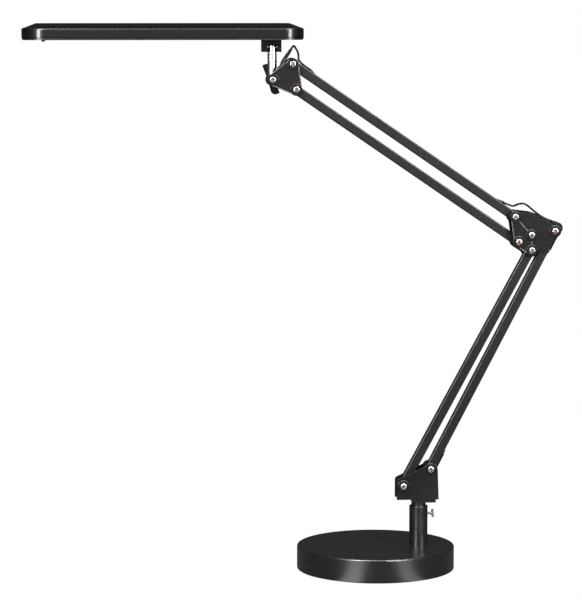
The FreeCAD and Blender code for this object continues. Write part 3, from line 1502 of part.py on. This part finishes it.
def make_lead():
    """The lead from the base's grommet up through the post, both arms and the rod to the lamp head."""
    post = value("post_offset")
    stem = value("tilt_x")
    rest = value("lead_rest")
    lead("lead_in_base", placed("post_offset", "shelf_z", IN_BASE))
    lead("lead_in_neck", [(post, 0.0, value("shelf_z") + rest), (post, 0.0, value("cheek_z") + value("lead_stop"))])
    lead("lead_base_bend", placed("base_right_x", "base_right_z", BASE_BEND))
    lower = in_bar("base_right", "lower_right_angle", "lower_length", LOWER_SLOTS)
    upper = in_bar("elbow_top", "upper_angle", "upper_length", UPPER_SLOTS)
    lead("lead_in_lower_bar", lower)
    lead("lead_elbow_lower", placed("elbow_right_x", "elbow_right_z", ELBOW_LOWER))
    lead("lead_elbow_upper", placed("elbow_top_x", "elbow_top_z", ELBOW_UPPER))
    lead("lead_in_upper_bar", upper)
    lead("lead_head_fall", placed("head_top_x", "head_top_z", HEAD_FALL))
    lead("lead_head_rise", placed("tilt_x", "tilt_z", HEAD_RISE))
    lead("lead_in_rod", placed("tilt_x", "exit_z", IN_ROD))
    knuckle_foot = value("swivel_z") - value("knuckle_sink")
    lead("lead_in_knuckle", [(stem, 0.0, knuckle_foot), (stem, 0.0, value("swivel_z") + value("lead_top"))])
    lead("lead_head_tail", placed("tilt_x", "head_z", HEAD_TAIL))
    print("lower bar's lead from %s to %s" % (lower[0], lower[-1]))
    print("upper bar's lead from %s to %s" % (upper[0], upper[-1]))


def main():
    """Builds every piece, checks the document and writes the files."""
    make_base()
    make_neck()
    make_bars()
    make_elbow()
    make_head_bracket()
    make_rod()
    make_wing_knob()
    make_yoke()
    make_head()
    make_fasteners()
    make_thumb_screw()
    make_lead()
    doc.recompute()
    faults = [obj.Name for obj in doc.Objects if "Invalid" in obj.State or "Error" in obj.State]
    for name, obj in parts.items():
        if obj.Shape.isNull() or not obj.Shape.isValid() or not obj.Shape.Solids:
            faults.append(name)
    if faults:
        raise RuntimeError("failed: " + ", ".join(faults))
    os.makedirs("parts", exist_ok=True)
    for name, obj in parts.items():
        obj.Shape.exportStep("parts/%s.step" % name)
    for name in PLACES:
        print("%s %.4f" % (name, value(name)))
    print("%d parts" % len(parts))


main()
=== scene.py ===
"""Desk lamp with two double-bar arms: finishes, leads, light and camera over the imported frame."""

import json
import math

import bpy
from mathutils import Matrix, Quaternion, Vector


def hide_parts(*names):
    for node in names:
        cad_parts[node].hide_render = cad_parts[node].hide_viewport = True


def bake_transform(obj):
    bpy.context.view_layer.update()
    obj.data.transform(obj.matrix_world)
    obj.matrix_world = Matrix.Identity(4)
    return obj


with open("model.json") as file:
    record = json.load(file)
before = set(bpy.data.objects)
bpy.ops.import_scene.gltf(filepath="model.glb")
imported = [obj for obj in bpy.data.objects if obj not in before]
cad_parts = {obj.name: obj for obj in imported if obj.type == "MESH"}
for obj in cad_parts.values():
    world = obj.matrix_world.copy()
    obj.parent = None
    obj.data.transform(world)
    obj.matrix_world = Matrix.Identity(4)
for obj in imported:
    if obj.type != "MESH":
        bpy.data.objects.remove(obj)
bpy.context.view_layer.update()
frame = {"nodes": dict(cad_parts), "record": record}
nodes = frame["nodes"]


def mm(*values):
    return Vector(values) / 1000.0


# ---------------------------------------------------------------- materials

NOISE_LOW, NOISE_HIGH = 0.3, 0.7
COLOUR_DETAIL = 4.0
SURFACE_DETAIL = 3.0
FLECK_EDGE = 0.6
COLOUR_A, COLOUR_B, MIXED_COLOUR = 6, 7, 2


class Finish:
    """A node material whose colour, roughness and surface vary in the piece's own space."""

    def __init__(self, name, color, metallic=0.0, rough=0.5, **sockets):
        self.material = bpy.data.materials.new(name)
        self.material.use_nodes = True
        self.tree = self.material.node_tree
        self.shader = self.tree.nodes["Principled BSDF"]
        self.color = color
        self.rough = rough
        self.tint = None
        self.normal = None
        self.shader.inputs["Base Color"].default_value = (*color, 1.0)
        self.shader.inputs["Metallic"].default_value = metallic
        self.shader.inputs["Roughness"].default_value = rough
        for socket, value in sockets.items():
            self.shader.inputs[socket.replace("_", " ")].default_value = value
        self.space = self.tree.nodes.new("ShaderNodeTexCoord").outputs["Object"]

    def node(self, kind, **values):
        node = self.tree.nodes.new("ShaderNode" + kind)
        for key, value in values.items():
            setattr(node, key, value)
        return node

    def link(self, source, target):
        self.tree.links.new(source, target)

    def stretched(self, scale):
        mapping = self.node("Mapping")
        mapping.inputs["Scale"].default_value = scale
        self.link(self.space, mapping.inputs["Vector"])
        return mapping.outputs["Vector"]

    def noise(self, scale, detail, stretch):
        noise = self.node("TexNoise")
        noise.inputs["Scale"].default_value = scale
        noise.inputs["Detail"].default_value = detail
        self.link(self.space if stretch is None else self.stretched(stretch), noise.inputs["Vector"])
        return noise.outputs["Fac"]

    def span(self, source, low, high, out_low, out_high):
        ramp = self.node("MapRange")
        for index, value in enumerate((low, high, out_low, out_high), start=1):
            ramp.inputs[index].default_value = value
        self.link(source, ramp.inputs[0])
        return ramp.outputs[0]

    def drift(self, scale, detail, stretch, low, high):
        """A value that wanders between two ends over the surface."""
        return self.span(self.noise(scale, detail, stretch), NOISE_LOW, NOISE_HIGH, low, high)

    def mottle(self, scale, share, stretch=None):
        """The colour drifts darker and lighter by a share."""
        mix = self.node("Mix", data_type="RGBA")
        self.link(self.drift(scale, COLOUR_DETAIL, stretch, 0.0, 1.0), mix.inputs["Factor"])
        mix.inputs[COLOUR_A].default_value = (*[c * (1.0 - share) for c in self.color], 1.0)
        mix.inputs[COLOUR_B].default_value = (*[min(1.0, c * (1.0 + share)) for c in self.color], 1.0)
        self.tint = mix.outputs[MIXED_COLOUR]
        self.link(self.tint, self.shader.inputs["Base Color"])
        return self

    def uneven(self, scale, spread, stretch=None):
        """The roughness drifts up and down by a spread."""
        rough = self.drift(scale, SURFACE_DETAIL, stretch, self.rough - spread, self.rough + spread)
        self.link(rough, self.shader.inputs["Roughness"])
        return self

    def grain(self, scale, height, stretch=None):
        """Fine unevenness of the surface, with its height in metres."""
        bump = self.node("Bump")
        bump.inputs["Strength"].default_value = 1.0
        bump.inputs["Distance"].default_value = height
        self.link(self.noise(scale, SURFACE_DETAIL, stretch), bump.inputs["Height"])
        if self.normal is not None:
            self.link(self.normal, bump.inputs["Normal"])
        self.normal = bump.outputs["Normal"]
        self.link(self.normal, self.shader.inputs["Normal"])
        return self

    def round_edges(self, radius):
        """Sharp edges catch the light as a small radius does."""
        bevel = self.node("Bevel", samples=4)
        bevel.inputs["Radius"].default_value = radius
        self.normal = bevel.outputs["Normal"]
        self.link(self.normal, self.shader.inputs["Normal"])
        return self

    def flecks(self, scale, share, color):
        """Bright metallic specks in the paint, each of them one cell."""
        cells = self.node("TexVoronoi")
        cells.inputs["Scale"].default_value = scale
        self.link(self.space, cells.inputs["Vector"])
        split = self.node("SeparateColor")
        self.link(cells.outputs["Color"], split.inputs["Color"])
        mask = self.span(split.outputs[0], 1.0 - share, 1.0 - share * FLECK_EDGE, 0.0, 1.0)
        mix = self.node("Mix", data_type="RGBA")
        self.link(mask, mix.inputs["Factor"])
        self.link(self.tint, mix.inputs[COLOUR_A])
        mix.inputs[COLOUR_B].default_value = (*color, 1.0)
        self.link(mix.outputs[MIXED_COLOUR], self.shader.inputs["Base Color"])
        self.link(mask, self.shader.inputs["Metallic"])
        return self


def finishes():
    """Every finish under its slot's name; colours are linear, and edge radii and grain are in metres."""
    paint = Finish("base_paint", (0.0155, 0.0155, 0.0158), 0.0, 0.28, Specular_IOR_Level=0.6)
    paint.mottle(300, 0.08).flecks(2600, 0.14, (0.055, 0.055, 0.057)).uneven(500, 0.015).grain(900, 0.00003)
    steel = Finish("satin_black_steel", (0.0055, 0.0055, 0.0057), 0.0, 0.28, Specular_IOR_Level=0.4)
    steel.round_edges(0.0004).mottle(200, 0.1).uneven(300, 0.02).grain(1400, 0.00002)
    bar = Finish("black_anodised", (0.011, 0.011, 0.0113), 0.3, 0.34)
    bar.round_edges(0.0002).mottle(200, 0.1).uneven(300, 0.02).grain(900, 0.000012)
    shell = Finish("head_black", (0.013, 0.013, 0.0133), 0.3, 0.2)
    shell.round_edges(0.0026).mottle(200, 0.08, (0.2, 1, 1)).uneven(400, 0.012, (0.2, 1, 1))
    shell.grain(1500, 0.00001, (0.05, 1, 1))
    tube = Finish("post_black", (0.018, 0.018, 0.0182), 0.2, 0.3)
    tube.mottle(50, 0.12).uneven(90, 0.04).grain(1200, 0.00001, (1, 1, 0.1))
    nickel = Finish("nickel_plate", (0.33, 0.29, 0.27), 1.0, 0.24)
    nickel.round_edges(0.0003).mottle(160, 0.06).uneven(200, 0.06).grain(2500, 0.00001)
    # A light metallic finish for the top faces of the plate rims: a painted highlight along the rims.
    rim_highlight = Finish("painted_rim_highlight", (0.19, 0.19, 0.192), 0.5, 0.34)
    rim_highlight.round_edges(0.0002).mottle(220, 0.2).uneven(200, 0.06).grain(1800, 0.00002)
    blackened = Finish("blackened_steel", (0.045, 0.036, 0.030), 0.7, 0.36)
    blackened.round_edges(0.0003).mottle(200, 0.25).uneven(250, 0.08).grain(1800, 0.00002)
    turned = Finish("turned_steel", (0.38, 0.38, 0.39), 1.0, 0.28)
    turned.round_edges(0.0002).mottle(120, 0.08).uneven(220, 0.06).grain(3000, 0.00001, (1, 0.05, 1))
    chrome = Finish("chrome_plate", (0.93, 0.93, 0.94), 1.0, 0.05)
    chrome.mottle(40, 0.015).uneven(60, 0.012).grain(500, 0.000003)
    plastic = Finish("moulded_black", (0.006, 0.006, 0.0062), 0.0, 0.5, Specular_IOR_Level=0.12)
    plastic.round_edges(0.0004).mottle(80, 0.12).uneven(160, 0.06).grain(2600, 0.00004)
    bezel = Finish("bezel_black", (0.010, 0.010, 0.011), 0.0, 0.34)
    bezel.mottle(40, 0.12).uneven(90, 0.05).grain(2200, 0.00002)
    rubber = Finish("foot_rubber", (0.012, 0.012, 0.012), 0.0, 0.8)
    rubber.mottle(60, 0.15).uneven(120, 0.08).grain(1600, 0.0001)
    lead = Finish("lead_sleeve", (0.009, 0.009, 0.0095), 0.0, 0.33)
    lead.mottle(90, 0.12).uneven(200, 0.06).grain(1500, 0.00002)
    iron = Finish("cast_iron", (0.10, 0.098, 0.095), 0.8, 0.62)
    iron.mottle(70, 0.25).uneven(90, 0.12).grain(500, 0.0003)
    frosted = Finish("frosted_diffuser", (0.82, 0.82, 0.80), 0.0, 0.46, Subsurface_Weight=0.25)
    frosted.mottle(30, 0.02).uneven(60, 0.05).grain(1800, 0.00003)
    frosted.shader.inputs["Subsurface Radius"].default_value = (0.002, 0.002, 0.002)
    white = Finish("white_moulded", (0.78, 0.78, 0.77), 0.0, 0.5)
    white.mottle(40, 0.03).uneven(80, 0.06).grain(1800, 0.00003)
    mask = Finish("board_mask", (0.74, 0.75, 0.73), 0.1, 0.4)
    mask.mottle(50, 0.04).uneven(90, 0.06).grain(900, 0.00001)
    phosphor = Finish("led_phosphor", (0.82, 0.62, 0.08), 0.0, 0.45)
    phosphor.mottle(900, 0.1).uneven(600, 0.08).grain(3000, 0.00002)
    green = Finish("board_green", (0.02, 0.14, 0.05), 0.0, 0.4)
    green.mottle(200, 0.3).uneven(200, 0.08).grain(500, 0.0002)
    grommet = Finish("grey_grommet", (0.33, 0.33, 0.34), 0.0, 0.5)
    grommet.mottle(120, 0.08).uneven(200, 0.06).grain(2200, 0.00003)
    return {
        "base_paint": paint, "foot_pad": rubber, "ballast": iron, "black_steel": steel,
        "dark_screw": blackened, "nickel": nickel, "bush": turned, "black_bar": bar,
        "head_finish": shell, "bezel": bezel, "rod_chrome": chrome, "black_plastic": plastic,
        "grey_grommet": grommet, "frosted": frosted, "white_box": white, "board_white": mask,
        "led_yellow": phosphor, "board_green": green, "lead_black": lead, "post": tube, "rim_highlight": rim_highlight,
    }


FINISH = finishes()


def wear(piece, finish):
    piece.data.materials.clear()
    piece.data.materials.append(FINISH[finish].material)


# The yoke takes the darkest black finish: its own black colour, darkened further as painted shade under the
# head.
OTHER_FINISHES = {"stand_tube": "post", "neck_post": "post", "head_yoke": "black_plastic",
                  "rod_knuckle": "rod_chrome"}
CRISP_PIECES = ("base_pad", "base_shell", "head_shell", "head_bezel")
CRISP_ANGLE = math.radians(35)

for part in frame["record"]["subparts"]:
    wear(nodes[part["node"]], part["material_slot"])
for name, finish in OTHER_FINISHES.items():
    wear(nodes[name], finish)
for name in CRISP_PIECES:
    nodes[name].data.set_sharp_from_angle(angle=CRISP_ANGLE)


def second_finish(name, finish, chosen):
    """Gives a second finish to the faces of a piece whose centre is chosen."""
    piece = nodes[name]
    piece.data.materials.append(FINISH[finish].material)
    for face in piece.data.polygons:
        if chosen(piece.matrix_world @ face.center):
            face.material_index = 1


# The y of each raised plate rim, whose top faces get a light finish as a painted highlight, and the height
# above which the knuckle is painted black as painted shade inside the yoke, in metres.
RIM_PLANES = {"elbow_front_cheek": -0.0142, "head_front_plate": -0.0126, "head_back_plate": 0.0126}
RIM_MARGIN = 0.00006
KNUCKLE_SHADE_FROM = 0.664

# The rim tops of these plates take the light finish: a painted highlight.
for name, plane in RIM_PLANES.items():
    second_finish(name, "rim_highlight", lambda centre: abs(centre.y - plane) < RIM_MARGIN)
# The knuckle's faces above that height are painted black: painted shade where it sits inside the yoke.
second_finish("rod_knuckle", "black_steel", lambda centre: centre.z > KNUCKLE_SHADE_FROM)


# ---------------------------------------------------------------- leads

SMOOTHING = 3
STEPS_PER_POINT = 10
CORE_RADIUS = 1.25
CORE_OFFSET = 1.3
WEB_HALF = 0.85
CORE_STEPS = 10
TWIST_FROM = 0.3
TWIST_SHAPE = 0.7
SIDEWAYS = Vector((0.0, 1.0, 0.0))


def run_of(route):
    """Points along the smooth line of a route given in mm."""
    curve = bpy.data.curves.new("run", "CURVE")
    curve.dimensions = "3D"
    spline = curve.splines.new("NURBS")
    spline.points.add(len(route) - 1)
    for point, place in zip(spline.points, route):
        point.co = (*mm(*place), 1.0)
    spline.order_u = SMOOTHING
    spline.use_endpoint_u = True
    spline.resolution_u = STEPS_PER_POINT
    carrier = bpy.data.objects.new("run", curve)
    bpy.context.scene.collection.objects.link(carrier)
    mesh = bpy.data.meshes.new_from_object(carrier)
    points = [vertex.co.copy() for vertex in mesh.vertices]
    bpy.data.meshes.remove(mesh)
    bpy.data.objects.remove(carrier)
    bpy.data.curves.remove(curve)
    return points


def twin_profile():
    """Two round cores side by side with a shallow groove between them, as (across, up) in mm."""
    limit = math.pi - math.asin(WEB_HALF / CORE_RADIUS)
    outline = []
    for side in (1, -1):
        for step in range(CORE_STEPS + 1):
            angle = limit * (1.0 - 2.0 * step / CORE_STEPS)
            across = side * (CORE_OFFSET - CORE_RADIUS * math.cos(angle))
            outline.append((across, side * CORE_RADIUS * math.sin(angle)))
    return outline


def lead_mesh(name, route, twist):
    """The twin profile swept along a route in the lamp's own plane.

    Past TWIST_FROM of its run it turns about its own line, up to the twist in degrees and back.
    """
    points = run_of([(x, 0.0, z) for x, z in route])
    last = len(points) - 1
    profile = twin_profile()
    verts = []
    for index, point in enumerate(points):
        ahead = (points[min(index + 1, last)] - points[max(index - 1, 0)]).normalized()
        up = ahead.cross(SIDEWAYS).normalized()
        share = max(0.0, (index / last - TWIST_FROM) / (1.0 - TWIST_FROM))
        turn = Quaternion(ahead, math.radians(twist) * math.sin(math.pi * share) ** TWIST_SHAPE)
        across, up = turn @ SIDEWAYS, turn @ up
        verts.extend(point + across * (a / 1000.0) + up * (b / 1000.0) for a, b in profile)
    count = len(profile)
    faces = [tuple(reversed(range(count)))]
    for ring in range(last):
        for side in range(count):
            a, b = ring * count + side, ring * count + (side + 1) % count
            faces.append((a, b, b + count, a + count))
    faces.append(tuple(range(len(verts) - count, len(verts))))
    mesh = bpy.data.meshes.new(name)
    mesh.from_pydata(verts, [], faces)
    mesh.validate()
    for polygon in mesh.polygons:
        polygon.use_smooth = len(polygon.vertices) == 4
    return mesh


def flat_lead(name, route, node, twist=0.0):
    """A flat twin lead along a route of (x, z) in mm between two bodies, in place of the frame's piece,
    which is hidden.
    """
    piece = bpy.data.objects.new(name, lead_mesh(name, route, twist))
    bpy.context.scene.collection.objects.link(piece)
    wear(piece, "lead_black")
    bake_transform(piece)
    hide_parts(node)


flat_lead("lead_at_base",
          [(55.0, 93.8), (55.2, 98.2), (60.0, 103.5), (67.3, 110.6), (73.0, 119.0), (76.4, 127.0),
           (80.2, 134.9), (84.1, 142.4), (86.6, 147.2)],
          "lead_base_bend")
flat_lead("lead_round_elbow",
          [(220.6, 406.3), (224.4, 413.7), (228.4, 421.4), (232.9, 428.9), (233.6, 435.8), (227.6, 441.3),
           (214.3, 446.0), (204.0, 452.4), (195.4, 459.8)],
          "lead_elbow_lower")
flat_lead("lead_over_elbow",
          [(195.4, 459.8), (190.0, 464.5), (184.8, 465.7), (178.6, 464.4), (173.3, 461.7), (168.2, 464.0),
           (163.0, 465.6), (158.35, 468.7)],
          "lead_elbow_upper")
flat_lead("lead_from_arm",
          [(-82.4, 633.4), (-87.6, 637.0), (-93.5, 641.0), (-98.9, 646.8), (-98.3, 653.2), (-99.75, 657.0)],
          "lead_head_fall")
flat_lead("lead_to_rod",
          [(-99.75, 657.0), (-101.7, 660.4), (-104.7, 665.4), (-107.9, 659.6), (-113.2, 651.8),
           (-119.0, 643.6), (-120.4, 637.6), (-121.9, 635.3), (-125.4, 635.02)],
          "lead_head_rise", twist=76.0)
flat_lead("lead_into_head",
          [(-131.6, 659.0), (-131.6, 673.0), (-133.2, 683.0), (-143.0, 687.3), (-159.4, 687.4)],
          "lead_head_tail")


# ---------------------------------------------------------------- stage, light, camera

FLOOR_REACH = 30.0
FLOOR_DROP = 0.0002
FLOOR_TONE = 0.86
# What the camera sees of the floor: the strength of its white, and the white's share against the shadow.
FLOOR_GLOW = 1.06
FLOOR_SHARE = 0.92
# How bright the floor is in reflections, and the y between which it fades: near the lamp, and far in front.
NEAR_MIRRORED = 0.16
FAR_MIRRORED = 0.85
FADE_NEAR, FADE_FAR = -0.2, 0.6
FRONT_FAR, FRONT_NEAR = -16.0, -5.0
# How bright the room is in reflections, and the y of the heading between which it fades.
FRONT_MIRRORED = 0.8
BACK_MIRRORED = 0.05
HEADING_FRONT, HEADING_BACK = -0.75, 0.1
SOFT_LIGHT = 0.5
# Turn from the front and half width in degrees, and brightness, of each bright patch beside the base.
SHEENS = ((-27.0, 8.5, 3.2), (26.0, 8.0, 2.3))
SHEEN_EDGE = 4.5
SHEEN_INNER = (0.1, 0.102)
SHEEN_OUTER = (0.35, 0.6)


def math_node(tree, operation, first, second, clamp=False):
    node = tree.nodes.new("ShaderNodeMath")
    node.operation = operation
    node.use_clamp = clamp
    for socket, source in zip(node.inputs, (first, second)):
        if isinstance(source, (int, float)):
            socket.default_value = source
        else:
            tree.links.new(source, socket)
    return node.outputs[0]


def ranged(tree, source, low, high, out_low, out_high):
    node = tree.nodes.new("ShaderNodeMapRange")
    node.interpolation_type = "SMOOTHSTEP"
    for index, value in enumerate((low, high, out_low, out_high), start=1):
        node.inputs[index].default_value = value
    tree.links.new(source, node.inputs[0])
    return node.outputs[0]


def along(tree, source, axis):
    split = tree.nodes.new("ShaderNodeSeparateXYZ")
    tree.links.new(source, split.inputs[0])
    return split.outputs[axis]


def sheen(tree, position, turn, half, level):
    """A bright patch of floor beside the base, which only reflections see."""
    x, y = along(tree, position, 0), along(tree, position, 1)
    bearing = math_node(tree, "ARCTAN2", x, math_node(tree, "MULTIPLY", y, -1.0))
    away = math_node(tree, "ABSOLUTE", math_node(tree, "SUBTRACT", bearing, math.radians(turn)), 0.0)
    inner, outer = math.radians(half - SHEEN_EDGE), math.radians(half + SHEEN_EDGE)
    beam = ranged(tree, away, inner, outer, level, 0.0)
    squares = math_node(tree, "ADD", math_node(tree, "MULTIPLY", x, x), math_node(tree, "MULTIPLY", y, y))
    distance = math_node(tree, "SQRT", squares, 0.0)
    outside = ranged(tree, distance, *SHEEN_INNER, 0.0, 1.0)
    close = math_node(tree, "MULTIPLY", outside, ranged(tree, distance, *SHEEN_OUTER, 1.0, 0.0))
    return math_node(tree, "MULTIPLY", beam, close)


def floor_white():
    """White to the camera with a faint shadow, and clear from below.

    In reflections it is dim near the lamp, pale far in front and dark behind, with two bright patches.
    """
    material = bpy.data.materials.new("floor_white")
    material.use_nodes = True
    tree = material.node_tree
    tree.nodes.clear()
    out = tree.nodes.new("ShaderNodeOutputMaterial")
    diffuse = tree.nodes.new("ShaderNodeBsdfDiffuse")
    diffuse.inputs["Color"].default_value = (FLOOR_TONE, FLOOR_TONE, FLOOR_TONE, 1.0)
    glow = tree.nodes.new("ShaderNodeEmission")
    path = tree.nodes.new("ShaderNodeLightPath")
    camera_ray, glossy_ray = path.outputs["Is Camera Ray"], path.outputs["Is Glossy Ray"]
    geometry = tree.nodes.new("ShaderNodeNewGeometry")
    position = geometry.outputs["Position"]
    depth = along(tree, position, 1)
    near = ranged(tree, depth, FADE_NEAR, FADE_FAR, NEAR_MIRRORED, BACK_MIRRORED)
    far = ranged(tree, depth, FRONT_FAR, FRONT_NEAR, FAR_MIRRORED, 0.0)
    mirrored = math_node(tree, "ADD", near, far)
    for turn, half, level in SHEENS:
        mirrored = math_node(tree, "ADD", mirrored, sheen(tree, position, turn, half, level))
    strength = math_node(tree, "MULTIPLY", glossy_ray, mirrored)
    strength = math_node(tree, "ADD", strength, math_node(tree, "MULTIPLY", camera_ray, FLOOR_GLOW))
    tree.links.new(strength, glow.inputs["Strength"])
    share = math_node(tree, "MULTIPLY", camera_ray, FLOOR_SHARE)
    share = math_node(tree, "ADD", share, glossy_ray, clamp=True)
    mix = tree.nodes.new("ShaderNodeMixShader")
    tree.links.new(share, mix.inputs["Fac"])
    tree.links.new(diffuse.outputs[0], mix.inputs[1])
    tree.links.new(glow.outputs[0], mix.inputs[2])
    clear = tree.nodes.new("ShaderNodeBsdfTransparent")
    sides = tree.nodes.new("ShaderNodeMixShader")
    tree.links.new(geometry.outputs["Backfacing"], sides.inputs["Fac"])
    tree.links.new(mix.outputs[0], sides.inputs[1])
    tree.links.new(clear.outputs[0], sides.inputs[2])
    tree.links.new(sides.outputs[0], out.inputs["Surface"])
    return material


def studio():
    """White to the camera, even to the light, and in reflections bright in front and dark behind."""
    world = bpy.data.worlds.new("studio")
    bpy.context.scene.world = world
    world.use_nodes = True
    tree = world.node_tree
    tree.nodes.clear()
    out = tree.nodes.new("ShaderNodeOutputWorld")
    path = tree.nodes.new("ShaderNodeLightPath")
    camera_ray, glossy_ray = path.outputs["Is Camera Ray"], path.outputs["Is Glossy Ray"]
    seen = math_node(tree, "ADD", camera_ray, path.outputs["Is Transmission Ray"], clamp=True)
    heading = along(tree, tree.nodes.new("ShaderNodeTexCoord").outputs["Generated"], 1)
    mirrored = ranged(tree, heading, HEADING_FRONT, HEADING_BACK, FRONT_MIRRORED, BACK_MIRRORED)
    mirrored = math_node(tree, "MULTIPLY", glossy_ray, mirrored)
    unseen = math_node(tree, "SUBTRACT", 1.0, seen, clamp=True)
    plain = math_node(tree, "SUBTRACT", unseen, glossy_ray, clamp=True)
    light = math_node(tree, "MULTIPLY", plain, SOFT_LIGHT)
    total = math_node(tree, "ADD", math_node(tree, "ADD", seen, mirrored), light)
    background = tree.nodes.new("ShaderNodeBackground")
    background.inputs["Color"].default_value = (1.0, 1.0, 1.0, 1.0)
    tree.links.new(total, background.inputs["Strength"])
    tree.links.new(background.outputs[0], out.inputs["Surface"])


CORNERS = ((-1, -1), (1, -1), (1, 1), (-1, 1))

floor_mesh = bpy.data.meshes.new("floor")
floor_mesh.from_pydata([(x * FLOOR_REACH, y * FLOOR_REACH, 0) for x, y in CORNERS], [], [(0, 1, 2, 3)])
floor_mesh.materials.append(floor_white())
floor = bpy.data.objects.new("floor", floor_mesh)
bpy.context.scene.collection.objects.link(floor)
floor.location.z = -FLOOR_DROP
studio()


def softbox(name, place, aim, size, power, mirrored_only=False):
    """An area light in metres and watts; a mirrored one shows only as a highlight."""
    lamp = bpy.data.lights.new(name, "AREA")
    lamp.shape = "RECTANGLE"
    lamp.size, lamp.size_y = size
    lamp.energy = power
    holder = bpy.data.objects.new(name, lamp)
    bpy.context.scene.collection.objects.link(holder)
    holder.location = place
    holder.rotation_euler = (Vector(aim) - Vector(place)).to_track_quat("-Z", "Y").to_euler()
    holder.visible_diffuse = not mirrored_only


softbox("key_left", (-1.06, -1.46, 1.6), (0.0, 0.0, 0.5), (0.5, 3.2), 190, mirrored_only=True)
softbox("key_right", (1.16, -1.38, 1.6), (0.0, 0.0, 0.5), (0.5, 3.2), 170, mirrored_only=True)
softbox("overhead", (0.1, -0.1, 2.4), (0.1, 0.0, 0.0), (2.4, 1.2), 75, mirrored_only=True)
softbox("room", (-0.3, -1.6, 2.3), (0.0, 0.0, 0.2), (1.4, 1.0), 14)

PHOTO_WIDTH = 582.0
FOCAL_PIXELS = 2750.0
SENSOR_WIDTH = 36.0

camera_data = bpy.data.cameras.new("camera")
camera_data.sensor_fit = "HORIZONTAL"
camera_data.sensor_width = SENSOR_WIDTH
camera_data.lens = FOCAL_PIXELS / PHOTO_WIDTH * SENSOR_WIDTH
camera_data.clip_end = 200.0
camera = bpy.data.objects.new("camera", camera_data)
bpy.context.scene.collection.objects.link(camera)
camera.location = (-0.3781, -3.4328, 0.7224)
camera.rotation_euler = (math.radians(83.75), 0.0, math.radians(-4.5))
bpy.context.scene.camera = camera
bpy.context.scene.view_settings.view_transform = "Standard"
